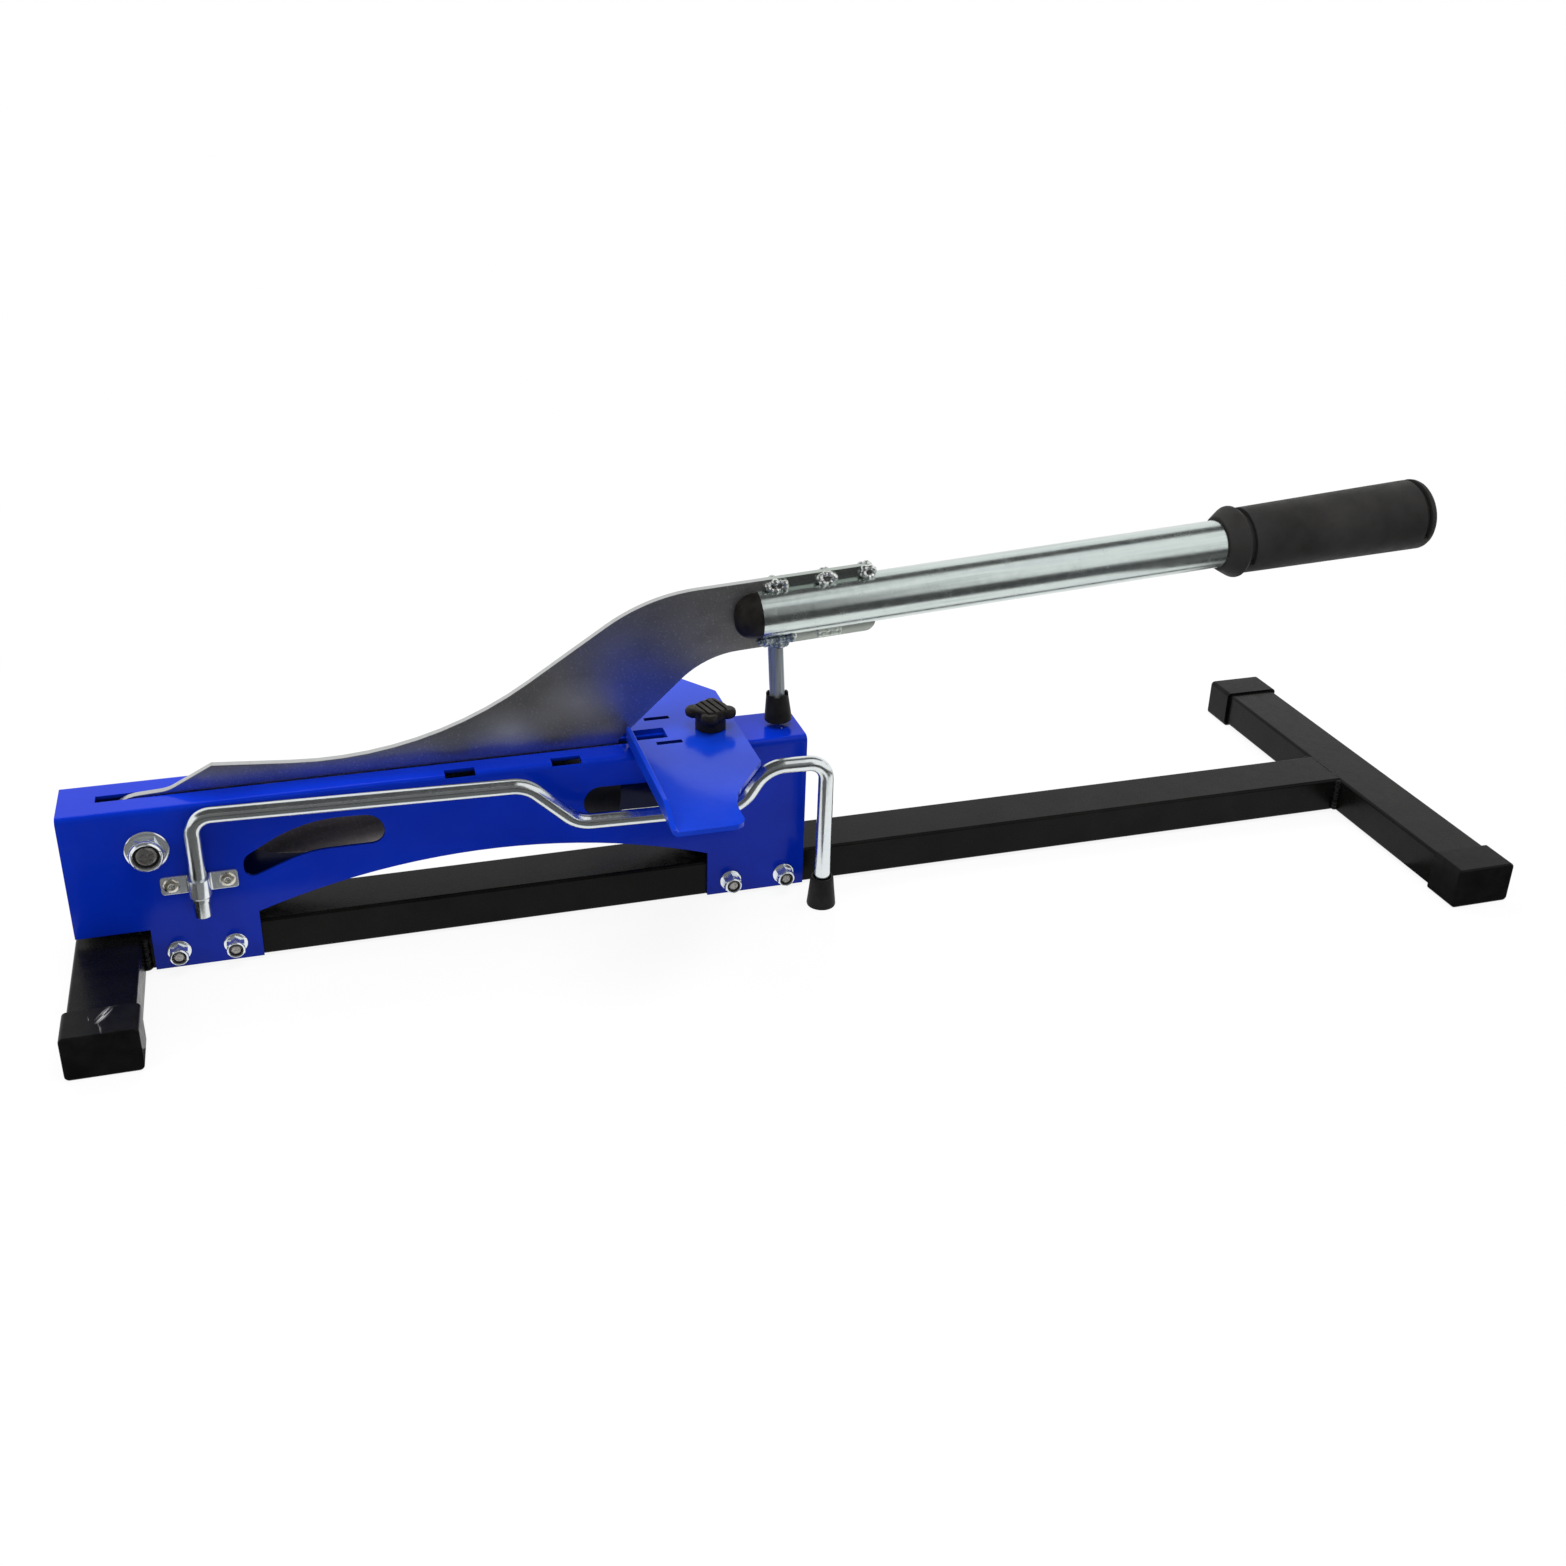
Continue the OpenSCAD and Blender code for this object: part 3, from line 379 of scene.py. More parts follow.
cap_plastic = new_finish("cap_plastic_black", shine=0.07)
plain = tones(
    cap_plastic, mottle(cap_plastic, scale=90, detail=5),
    (0.3, (0.003, 0.003, 0.0031)), (0.8, (0.0075, 0.0075, 0.0075)),
)
scuff_level, scuff_deep, scratch_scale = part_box("front_cap_near")[1].z, 1.5 * mm, (1100, 70, 300)
for x, y, half_wide, half_long, lean, paleness in (
    (-433.6, -111.0, 0.9, 8.0, -0.16, 0.16),
    (-431.9, -100.6, 3.0, 9.0, 0.5, 0.55),
    (-428.0, -93.2, 0.5, 10.0, 1.7, 0.12),
    (-445.0, -92.6, 0.5, 7.0, 1.79, 0.12),
    (-440.0, -101.8, 0.5, 3.0, -0.1, 0.22),
):
    centre, turn = (x * mm, y * mm, scuff_level), (0, 0, lean)
    half = (half_wide * mm, half_long * mm, scuff_deep)
    streaks = mottle(cap_plastic, 1.0, 5, 0.75, placed(cap_plastic, scratch_scale, centre, turn))
    scratch = tones(cap_plastic, streaks, (0.47, 0.0), (0.57, 1.0))
    worn = blended(cap_plastic, 1.0, spot(cap_plastic, centre, half, 0.1, turn), scratch, "MULTIPLY")
    plain = blended(cap_plastic, worn, plain, (paleness, paleness, paleness))
give(cap_plastic, "Base Color", plain)
dulled(cap_plastic, ((0.3, 0.27), (0.75, 0.40)), scale=260, detail=4)
pebbled(cap_plastic, scale=1600, detail=2, strength=0.1, depth=0.0003)

cap_skin, cap_corner, cap_edge, cap_lip = 1.5 * mm, 3 * mm, 1.3 * mm, 0.35 * mm
close, cap_play = 0.1 * mm, 0.1 * mm
for cap_node in ("front_cap_near", "front_cap_far", "rear_cap_near", "rear_cap_far"):
    cap_low, cap_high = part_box(cap_node)
    bpy.ops.mesh.primitive_cube_add(size=1, location=(cap_low + cap_high) / 2)
    cap = bpy.context.object
    cap.scale = cap_high - cap_low
    applied(cap)
    choose(cap, "edges", lambda a, b: abs(a.y - b.y) > close)
    bpy.ops.mesh.bevel(offset=cap_corner, segments=6, affect="EDGES")
    bpy.ops.object.mode_set(mode="OBJECT")
    way = 1 if cap_low.y > 0 else -1
    end_y, mouth_y = (cap_high.y, cap_low.y) if way > 0 else (cap_low.y, cap_high.y)
    choose(cap, "edges", lambda a, b: abs(a.y - end_y) < close and abs(b.y - end_y) < close)
    bpy.ops.mesh.bevel(offset=cap_edge, segments=4, affect="EDGES")
    bpy.ops.object.mode_set(mode="OBJECT")
    choose(cap, "faces", lambda c: abs(c.y - mouth_y) < close)
    bpy.ops.mesh.inset(thickness=cap_lip)
    bpy.ops.mesh.inset(thickness=cap_skin - cap_lip)
    cap_deep = abs(end_y - mouth_y) - cap_skin - cap_play
    bpy.ops.mesh.extrude_region_move(TRANSFORM_OT_translate={"value": (0, way * cap_deep, 0)})
    bpy.ops.object.mode_set(mode="OBJECT")
    settle(cap, cap_node + "_moulding", "base", cap_plastic, (cap_node,), sharp=40)

# Cutter housing: one folded channel of sheet steel with laser-cut windows, slot and relief holes,
# powder-coated royal blue. The coat is glossy, with a faint orange peel, and chipped once on top. The
# inside of the channel is painted almost black as painted shade.
def softened_copy(node, width):
    alone(nodes[node])
    bpy.ops.object.duplicate()
    copy = bpy.context.object
    for key in list(copy.keys()):
        del copy[key]
    copy.parent = None
    bpy.ops.object.mode_set(mode="EDIT")
    bpy.ops.mesh.select_all(action="SELECT")
    bpy.ops.mesh.customdata_custom_splitnormals_clear()
    bpy.ops.mesh.remove_doubles(threshold=0.002 * mm)
    bpy.ops.mesh.dissolve_limited(angle_limit=math.radians(0.4))
    bpy.ops.object.mode_set(mode="OBJECT")
    shape_with(
        copy, "BEVEL", width=width, segments=2, limit_method="ANGLE", angle_limit=math.radians(50),
        use_clamp_overlap=True, miter_outer="MITER_ARC",
    )
    return copy


def finish_node(finish, kind, operation, *values):
    node = finish.node_tree.nodes.new("ShaderNode" + kind)
    if operation:
        node.operation = operation
    for socket, value in zip(node.inputs, values):
        finish.node_tree.links.new(value, socket)
    return node


def coordinates(finish, centre=(0, 0, 0), turn=(0, 0, 0)):
    return finish_node(finish, "SeparateXYZ", None, placed(finish, (1, 1, 1), centre, turn)).outputs


housing_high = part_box("cutter_housing")[1]
channel_half, channel_fade = 19.7 * mm, 20.6 * mm
channel_top, channel_top_fade = 110.0 * mm, 111.0 * mm
chip_at, chip_half = (-7.8 * mm, -6.3 * mm, housing_high.z), (0.8 * mm, 0.6 * mm, 0.6 * mm)
blue_paint = new_finish("royal_blue_coat", shine=0.13)
coat = tones(
    blue_paint, mottle(blue_paint, scale=22, detail=4),
    (0.3, (0.0008, 0.027, 0.55)), (0.75, (0.0012, 0.035, 0.65)),
)
# Painted shade: the inside of the channel, between the walls and below the top, is darkened almost to black.
spread = coordinates(blue_paint)
aside = finish_node(blue_paint, "Math", "ABSOLUTE", spread["Y"]).outputs[0]
between_walls = tones(blue_paint, aside, (channel_half, 1.0), (channel_fade, 0.0))
below_top = tones(blue_paint, spread["Z"], (channel_top, 1.0), (channel_top_fade, 0.0))
inside = blended(blue_paint, 1.0, between_walls, below_top, "MULTIPLY")
coat = blended(blue_paint, inside, coat, (0.0008, 0.006, 0.06))
chip = spot(blue_paint, chip_at, chip_half, soft=0.75)
give(blue_paint, "Base Color", blended(blue_paint, chip, coat, (0.75, 0.77, 0.80)))
dulled(blue_paint, ((0.3, 0.10), (0.7, 0.18)), scale=120, detail=3)
pebbled(blue_paint, scale=420, detail=2, strength=0.05, depth=0.0006)
housing = softened_copy("cutter_housing", 0.45 * mm)
settle(housing, "housing_sheet", "base", blue_paint, ("cutter_housing",), sharp=30)

# Housing bolts and nuts: four zinc-plated M6 bolts go through the beam from the far side, each held by
# a flange lock nut on the near side. Each nut's round collar holds a black nylon ring round the bolt's end.
flange_share = 0.14


def turned(rings, sides):
    height, radius = rings[0]
    bpy.ops.mesh.primitive_circle_add(
        vertices=sides, radius=radius, fill_type="NGON", location=(0, 0, height),
    )
    piece = applied(bpy.context.object)
    bpy.ops.object.mode_set(mode="EDIT")
    bpy.ops.mesh.select_all(action="SELECT")
    for (low, narrow), (high, wide) in zip(rings, rings[1:]):
        bpy.ops.mesh.extrude_region_move(TRANSFORM_OT_translate={"value": (0, 0, high - low)})
        bpy.ops.transform.resize(value=(wide / narrow, wide / narrow, 1), center_override=(0, 0, high))
    bpy.ops.mesh.select_all(action="SELECT")
    bpy.ops.mesh.normals_make_consistent(inside=False)
    bpy.ops.object.mode_set(mode="OBJECT")
    return piece


def hexagon(across, low, high):
    corner = across / math.sqrt(3)
    spare = corner - across / 2
    bpy.ops.mesh.primitive_cylinder_add(
        vertices=6, radius=corner, depth=high - low, location=(0, 0, (low + high) / 2),
    )
    block = applied(bpy.context.object)
    lathe = turned([
        (low - 1 * mm, corner * 1.05), (high - 0.6 * spare, corner * 1.05),
        (high - 0.55 * spare, corner), (high + 0.03 * across, across * 0.46),
    ], 72)
    shape_with(block, "BOOLEAN", operation="INTERSECT", object=lathe, solver="EXACT")
    bpy.data.objects.remove(lathe)
    return block


def thread(thick, long, pitch):
    half, up = thick / 2, 0
    rings = [(up, half * 0.98)]
    while up + pitch < long - 0.9 * mm:
        rings += [(up + 0.45 * pitch, half), (up + 0.55 * pitch, half), (up + pitch, half - 0.55 * pitch)]
        up += pitch
    rings += [(long - 0.8 * mm, half * 0.99), (long - 0.15 * mm, half * 0.86), (long, half * 0.76)]
    return turned(rings, 40)


def flange_rings(across):
    wide, foot = 0.67 * across, flange_share * across
    rim = [(up * foot, share * wide) for up, share in ((0, 0.97), (0.2, 1), (0.38, 1), (0.5, 0.965))]
    return rim + [(0.66 * foot, 0.6 * across), (0.72 * foot, 0.5 * across)]


def lock_nut(across, thick, tall, turn=0.0):
    foot = flange_share * across
    collar = [(tall + up * foot, share * across) for up, share in (
        (-0.9, 0.515), (0.1, 0.53), (0.5, 0.52), (0.85, 0.49), (1, 0.455), (0.9, 0.425), (0.55, 0.41),
        (-0.8, 0.41),
    )]
    body = turned(flange_rings(across) + collar + [(tall - 0.8 * foot, thick / 2)], 64)
    block = hexagon(across, 0.4 * foot, tall)
    block.rotation_euler = (0, 0, turn)
    return joined([body, applied(block)])


def insert_ring(across, thick, tall):
    foot = flange_share * across
    outer = [(tall + up * foot, share * across) for up, share in (
        (-0.9, 0.405), (0.05, 0.405), (0.2, 0.395),
    )]
    inner = [(tall + 0.2 * foot, thick / 2 * 1.06), (tall - 0.1 * foot, thick / 2 * 0.98)]
    return turned(outer + inner, 48)


def flange_bolt(across, thick, far_y, end_y, pitch):
    foot, tall, sunk = flange_share * across, 0.5 * across, 0.2 * mm
    head = turned(flange_rings(across) + [(tall * 0.8, 0.44 * across), (tall * 0.86, 0.3 * across)], 64)
    head = joined([head, hexagon(across, 1.2 * foot, tall)])
    head.rotation_euler = (math.radians(-90), 0, 0)
    head.location = (0, far_y, 0)
    shank = thread(thick, far_y - end_y + sunk, pitch)
    shank.rotation_euler = (math.radians(90), 0, 0)
    shank.location = (0, far_y + sunk, 0)
    return joined([applied(head), applied(shank)])


def put(piece, place):
    piece.matrix_world = place
    return applied(piece)


def copies_at(piece, places):
    out = []
    for place in places:
        alone(piece)
        bpy.ops.object.duplicate()
        copy = bpy.context.object
        copy.location = place
        out.append(applied(copy))
    bpy.data.objects.remove(piece)
    return joined(out)


zinc = new_finish("bright_zinc", metal=1.0)
coloured(zinc, (
    (0.3, (0.64, 0.69, 0.70)), (0.5, (0.75, 0.79, 0.79)), (0.72, (0.71, 0.76, 0.80)),
), scale=30, detail=3)
dulled(zinc, ((0.3, 0.14), (0.75, 0.26)), scale=300, detail=3)
pebbled(zinc, scale=700, detail=2, strength=0.05, depth=0.0003)
nut_zinc = new_finish("nut_zinc", metal=0.9)
coloured(nut_zinc, ((0.3, (0.72, 0.77, 0.80)), (0.72, (0.90, 0.93, 0.95))), scale=60, detail=3)
dulled(nut_zinc, ((0.3, 0.11), (0.75, 0.21)), scale=300, detail=3)
pebbled(nut_zinc, scale=700, detail=2, strength=0.05, depth=0.0003)
dull_zinc = new_finish("dull_zinc", metal=1.0)
coloured(dull_zinc, ((0.35, (0.22, 0.21, 0.20)), (0.7, (0.50, 0.49, 0.47))), scale=900, detail=3)
dulled(dull_zinc, ((0.3, 0.35), (0.75, 0.55)), scale=500, detail=3)
pebbled(dull_zinc, scale=1600, detail=3, strength=0.3, depth=0.0005)
black_plastic = new_finish("moulded_black_plastic", shine=0.12)
coloured(black_plastic, (
    (0.3, (0.006, 0.0055, 0.005)), (0.8, (0.017, 0.015, 0.013)),
), scale=160, detail=4)
dulled(black_plastic, ((0.3, 0.32), (0.75, 0.48)), scale=500, detail=3)
pebbled(black_plastic, scale=1500, detail=2, strength=0.08, depth=0.0003)

wall = housing_high.y
on_wall = Matrix.Translation((0, -wall, 0)) @ Matrix.Rotation(math.radians(90), 4, "X")
nut_rise, small_across, small_thick, small_pitch = 7.4 * mm, 10.5 * mm, 6 * mm, 1.0 * mm
bolt_places = [(x * mm, 0, z * mm) for x, z in (
    (-394.28, 14.1), (-361, 14.1), (-45.16, 11.9), (-8.86, 11.9),
)]
nut = put(lock_nut(small_across, small_thick, nut_rise), on_wall)
settle(copies_at(nut, bolt_places), "beam_lock_nuts", "base", nut_zinc, ("housing_nuts",), sharp=32)
ring = put(insert_ring(small_across, small_thick, nut_rise), on_wall)
settle(copies_at(ring, bolt_places), "beam_nut_inserts", "base", black_plastic)
bolt = flange_bolt(small_across, small_thick, wall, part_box("housing_bolts")[0].y, small_pitch)
settle(copies_at(bolt, bolt_places), "beam_bolts", "base", dull_zinc, ("housing_bolts",), sharp=32)

# Pivot: the blade turns on one M12 bolt across the housing, kept in the middle by two plain steel
# sleeves and closed by a large flange lock nut on the near side.
anchor = {joint["name"]: Vector(joint["pos_m"]) for joint in frame["joints"]}
pivot = anchor["lever_hinge"]
large_across, large_thick, large_pitch, large_turn = 19 * mm, 12 * mm, 1.5 * mm, math.radians(30)
nut = put(lock_nut(large_across, large_thick, nut_rise, large_turn), on_wall)
settle(copies_at(nut, [pivot]), "pivot_lock_nut", "base", nut_zinc, ("pivot_nut",), sharp=32)
ring = put(insert_ring(large_across, large_thick, nut_rise), on_wall)
settle(copies_at(ring, [pivot]), "pivot_nut_insert", "base", black_plastic)
bolt = flange_bolt(large_across, large_thick, wall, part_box("pivot_bolt")[0].y, large_pitch)
settle(copies_at(bolt, [pivot]), "pivot_through_bolt", "base", dull_zinc, ("pivot_bolt",), sharp=32)

turned_steel = new_finish("turned_steel", metal=1.0)
coloured(turned_steel, ((0.3, (0.40, 0.40, 0.40)), (0.7, (0.56, 0.56, 0.56))), scale=200, detail=4)
lathe_lines = mottle(turned_steel, 1.0, 3, where=placed(turned_steel, (60, 900, 60)))
give(turned_steel, "Roughness", tones(turned_steel, lathe_lines, (0.3, 0.25), (0.7, 0.45)))
for sleeve in ("pivot_spacer_near", "pivot_spacer_far"):
    dress(sleeve, turned_steel)

# Blade: a 5 mm plate of tool steel, cut to a long swan's neck, dull and dark on its faces and bright on
# its rim, with two soft paler spots, and with painted shade on its faces below the housing's top. Its
# tail carries the lever tube and was plated together with it.
lever_foot = pivot + Vector((380 * mm, 0, 105 * mm))
lever_tilt = math.radians(3.5)
blade_half, heel_x = 2.5 * mm, -420 * mm
shade_full_z, shade_none_z, shade_faint_x, shade_deep_x = 98 * mm, 112 * mm, 180 * mm, 260 * mm
tail_edge, tail_strip, plating_fade = 20 * mm, 6 * mm, 0.012
blade_steel = new_finish("ground_blade_steel", metal=1.0)
cloudy = tones(
    blade_steel, mottle(blade_steel, scale=14, detail=6, roughness=0.6),
    (0.3, (0.34, 0.34, 0.335)), (0.75, (0.54, 0.54, 0.53)),
)
specks = tones(
    blade_steel, mottle(blade_steel, scale=700, detail=3, roughness=0.7), (0.56, 0.0), (0.70, 0.7),
)
face = blended(blade_steel, specks, cloudy, (0.72, 0.72, 0.72))
# Painted shade: the face is darkened below the housing's top, a little near the heel and most away from it.
from_heel = coordinates(blade_steel, (heel_x, 0, 0))
blade_shade_mask = tones(blade_steel, from_heel["Z"], (shade_full_z, 1.0), (shade_none_z, 0.0))
blade_shade_tone = tones(
    blade_steel, from_heel["X"], (shade_faint_x, (0.92, 0.84, 0.84)), (shade_deep_x, (0.22, 0.22, 0.24)),
)
face = blended(blade_steel, blade_shade_mask, face, blended(blade_steel, 1.0, face, blade_shade_tone, "MULTIPLY"))
# Two soft spots on the face, blended towards a pale bluish white.
for x, z, half_long, half_tall in ((-182, 130, 32, 17), (-140, 144, 34, 18)):
    pale_spot = spot(
        blade_steel, (x * mm, -blade_half, z * mm), (half_long * mm, blade_half, half_tall * mm), soft=0.0,
    )
    haze = blended(blade_steel, 1.0, pale_spot, (0.55, 0.55, 0.55), "MULTIPLY")
    face = blended(blade_steel, haze, face, (0.95, 0.97, 1.0))
facing = finish_node(blade_steel, "NewGeometry", None).outputs["Normal"]
facing_y = finish_node(blade_steel, "SeparateXYZ", None, facing).outputs["Y"]
sideways = finish_node(blade_steel, "Math", "ABSOLUTE", facing_y).outputs[0]
rim = tones(blade_steel, sideways, (0.55, 1.0), (0.9, 0.0))
face = blended(blade_steel, rim, face, (0.52, 0.53, 0.53))
plated = tones(blade_steel, coordinates(blade_steel, lever_foot)["X"], (0.0, 0.0), (plating_fade, 1.0))
from_edge = coordinates(blade_steel, lever_foot - Vector((0, 0, tail_edge)), (0, lever_tilt, 0))["Z"]
under_tube = tones(blade_steel, from_edge, (0.0, 1.0), (tail_strip, 0.0))
tail = tones(blade_steel, from_edge, (0.0, (0.86, 0.92, 0.84)), (tail_strip, (0.42, 0.46, 0.43)))
give(blade_steel, "Base Color", blended(blade_steel, plated, face, tail))
brushed = mottle(blade_steel, 1.0, 4, 0.6, placed(blade_steel, (40, 40, 1400), turn=(0, 0.12, 0)))
dullness = tones(blade_steel, brushed, (0.3, 0.28), (0.7, 0.42))
tail_dullness = tones(blade_steel, under_tube, (0.0, 0.24), (1.0, 0.5))
give(blade_steel, "Roughness", blended(blade_steel, plated, dullness, tail_dullness))
roughened(blade_steel, brushed, strength=0.08, depth=0.0003)
blade = softened_copy("blade", 0.4 * mm)
settle(blade, "blade_plate", "lever", blade_steel, ("blade",), sharp=30)

# Lever tube: round steel tube slotted over the blade's tail and zinc-plated, with long soft streaks. A
# black plastic plug with a domed nose closes its lower end on both sides of the blade.
plated_tube = new_finish("plated_tube", metal=1.0)
streak = mottle(
    plated_tube, 1.0, 4, 0.55, placed(plated_tube, (7, 200, 200), turn=(0, lever_tilt, 0)),
)
give(plated_tube, "Base Color", tones(
    plated_tube, streak, (0.3, (0.52, 0.59, 0.57)), (0.5, (0.64, 0.71, 0.68)), (0.7, (0.58, 0.65, 0.65)),
))
dulled(plated_tube, ((0.3, 0.19), (0.75, 0.29)), scale=160, detail=4)
roughened(plated_tube, streak, strength=0.05, depth=0.0005)
dress("lever_tube", plated_tube)

on_lever = Matrix.Translation(lever_foot) @ Matrix.Rotation(math.radians(90) - lever_tilt, 4, "Y")
plug_deep, plug_wide, plug_seat = 16 * mm, 15.6 * mm, 10 * mm
dome_rings, dome_power, saw_size = 15, 2.6, (80 * mm, 5.2 * mm, 80 * mm)
dome = []
for i in range(dome_rings):
    share = math.sin(math.radians(4 + 86 * i / (dome_rings - 1)))
    dome.append((-plug_deep * (1 - share ** dome_power) ** (1 / dome_power), plug_wide * share))
stem = [(0.4 * mm, plug_wide - 0.1 * mm), (0.4 * mm, 14.3 * mm), (plug_seat, 14.2 * mm)]
plug = put(turned(dome + stem, 64), on_lever)
bpy.ops.mesh.primitive_cube_add(size=1, location=lever_foot)
saw = bpy.context.object
saw.scale = saw_size
shape_with(plug, "BOOLEAN", operation="DIFFERENCE", object=saw, solver="EXACT")
bpy.data.objects.remove(saw)
settle(plug, "tube_nose_plug", "lever", black_plastic, ("tube_plug",), sharp=40)

# Lever welds: spots of weld where the tail comes out of the tube, three above on each side, raised at
# the rim round a dark hollow core, flat scales below, and a heat-tinted run round the stop rod.
weld_metal = new_finish("bare_weld", metal=1.0)
coloured(weld_metal, ((0.3, (0.55, 0.58, 0.56)), (0.7, (0.88, 0.90, 0.88))), scale=260, detail=4)
dulled(weld_metal, ((0.3, 0.10), (0.75, 0.3)), scale=700, detail=3)
pebbled(weld_metal, scale=520, detail=4, strength=0.6, depth=0.001)
weld_scale = new_finish("weld_scale", metal=0.6)
coloured(weld_scale, ((0.35, (0.02, 0.02, 0.02)), (0.7, (0.16, 0.16, 0.15))), scale=500, detail=4)
dulled(weld_scale, ((0.3, 0.4), (0.75, 0.7)), scale=700, detail=3)
pebbled(weld_scale, scale=600, detail=4, strength=0.8, depth=0.001)
scale_metal = new_finish("flat_weld", metal=1.0)
coloured(scale_metal, ((0.3, (0.66, 0.72, 0.66)), (0.7, (0.86, 0.92, 0.84))), scale=300, detail=4)
dulled(scale_metal, ((0.3, 0.42), (0.75, 0.56)), scale=500, detail=3)
pebbled(scale_metal, scale=400, detail=4, strength=0.2, depth=0.0006)


def lever_point(along, above, side):
    along, above, side = along * mm, above * mm, side * mm
    return lever_foot + Vector((
        along * math.cos(lever_tilt) - above * math.sin(lever_tilt), side,
        along * math.sin(lever_tilt) + above * math.cos(lever_tilt),
    ))


rim_drops, rim_out, rim_wave, rim_inset_long, rim_inset_tall = 11, 4.1, 0.5, 1.6, 1.4
rim_wide, rim_thick, rim_swell = 2.1, 1.9, 0.3
core_out, core_tall, core_thick, core_skin = 3.4, 1.9, 2.6, 0.4 * mm
scale_drops, scale_first, scale_pitch, scale_below, scale_out = 8, 40, 1.9, -18.6, 2.8
rims, cores, scales = [], [], []
for along, above, half_long, half_tall in (
    (12.3, 18.4, 7.8, 3.8), (45.1, 18.6, 6.5, 4.3), (72.8, 18.8, 5.4, 4.4),
):
    for side in (-1, 1):
        drops = []
        for i in range(rim_drops):
            turn = 2 * math.pi * i / rim_drops
            fat = 1 + rim_swell * math.sin(2.7 * i + along)
            drops.append((
                lever_point(
                    along + (half_long - rim_inset_long) * math.cos(turn),
                    above + (half_tall - rim_inset_tall) * math.sin(turn),
                    side * (rim_out + rim_wave * math.sin(turn * 2) - rim_wave * math.sin(turn)),
                ),
                (rim_wide * fat, rim_wide * fat, rim_thick * fat),
            ))
        rims.append(weld_run(drops))
        core = (lever_point(along, above, side * core_out), (half_long - 2, core_tall, core_thick))
        cores.append(weld_run([core], core_skin))
for side in (-1, 1):
    scales.append(weld_run([
        (
            lever_point(scale_first + scale_pitch * i, scale_below + 1.3 * row, side * scale_out),
            (1.7, 0.45 + 0.12 * math.sin(2.1 * i + row), 1.8),
        )
        for i in range(scale_drops) for row in (-1, 1)
    ]))
settle(joined(scales), "tail_weld_scales", "lever", scale_metal, sharp=60)
settle(joined(rims), "lever_weld_spots", "lever", weld_metal, ("lever_welds",), sharp=60)
settle(joined(cores), "lever_weld_cores", "lever", weld_scale, sharp=60)

tinted_weld = new_finish("heat_tinted_weld", metal=0.75)
coloured(tinted_weld, (
    (0.3, (0.09, 0.12, 0.16)), (0.55, (0.22, 0.27, 0.31)), (0.75, (0.68, 0.71, 0.69)),
), scale=240, detail=4)
dulled(tinted_weld, ((0.3, 0.14), (0.75, 0.36)), scale=600, detail=3)
pebbled(tinted_weld, scale=480, detail=4, strength=0.6, depth=0.001)
stop_along, ring_drops, ring_long, ring_wide, ring_below = 11, 14, 6.6, 4.6, -21.0
seam_drops, seam_first, seam_pitch, seam_below, seam_out = 8, 0.5, 2.9, -18.0, 4.4
lump_count, lump_first, lump_below, lump_out, lump_size = 3, 20.8, -18.6, 4.2, (2.2, 2.0, 2.3)
drops = []
for i in range(ring_drops):
    turn = 2 * math.pi * i / ring_drops
    fat = 1 + 0.25 * math.sin(3.1 * i)
    drops.append((
        lever_point(
            stop_along + ring_long * math.cos(turn), ring_below + 0.9 * math.sin(2 * turn),
            ring_wide * math.sin(turn),
        ),
        (2.5 * fat, 2.4, 2.7 * fat),
    ))
for i in range(seam_drops):
    for side in (-1, 1):
        fat = 1 + 0.22 * math.sin(2.2 * i + side)
        drops.append((
            lever_point(seam_first + seam_pitch * i, seam_below, side * seam_out),
            (2.4, 2.1 * fat, 2.6 * fat),
        ))
settle(weld_run(drops), "stop_weld", "lever", tinted_weld, sharp=60)
lumps = [
    (lever_point(lump_first + 0.8 * i, lump_below + 0.9 * i, side * lump_out), lump_size)
    for i in range(lump_count) for side in (-1, 1)
]
settle(weld_run(lumps), "stop_weld_lumps", "lever", weld_metal, sharp=60)

# Grip: a thick moulded rubber sleeve with a flared collar at its mouth, a body that swells towards the
# hand's end, and two moulded slots over its upper half, beside the collar and before the rounded end.
def lathed(rings, sides):
    return turned([(high * mm, wide * mm) for high, wide in rings], sides)


grip_rubber = new_finish("grip_rubber", shine=0.05)
give(grip_rubber, "Base Color", tones(
    grip_rubber, mottle(grip_rubber, scale=26, detail=5, roughness=0.6),
    (0.3, (0.016, 0.0156, 0.015)), (0.8, (0.034, 0.033, 0.032)),
))
dulled(grip_rubber, ((0.3, 0.42), (0.75, 0.58)), scale=180, detail=4)
pebbled(grip_rubber, scale=1300, detail=2, strength=0.12, depth=0.0004)

grip_from, grip_long, grip_end_wall, grip_bore = 322.2, 154.8, 10.0, 16.1
grip_skin, slot_reach, slot_sink = 20 * mm, 10.5 * mm, (0.87, 0.87, 0.92)
slots = ((13.8, 17.5), (145.3, 149.1))
outside = [
    (0.0, 17.2), (0.0, 18.0), (0.8, 18.9), (4.2, 21.2), (7.4, 23.3), (8.6, 23.95), (9.8, 24.15),
    (11.0, 24.0), (12.2, 23.2), (12.9, 22.4), (13.4, 22.1), (13.8, 22.05), (17.5, 22.1), (18.2, 22.15),
    (40, 22.5), (70, 22.95), (100, 23.4), (130, 23.8), (144.4, 24.0), (145.3, 24.0), (149.1, 24.05),
    (149.7, 24.05), (151.2, 23.75), (152.8, 22.9), (154.0, 21.6), (154.6, 20.0), (154.8, 18.0),
    (154.8, 9.0), (154.8, 2.0),
]
bore = [(grip_long - grip_end_wall, 1.0), (grip_long - grip_end_wall, grip_bore), (0.0, grip_bore)]
grip = lathed(bore + outside, 96)
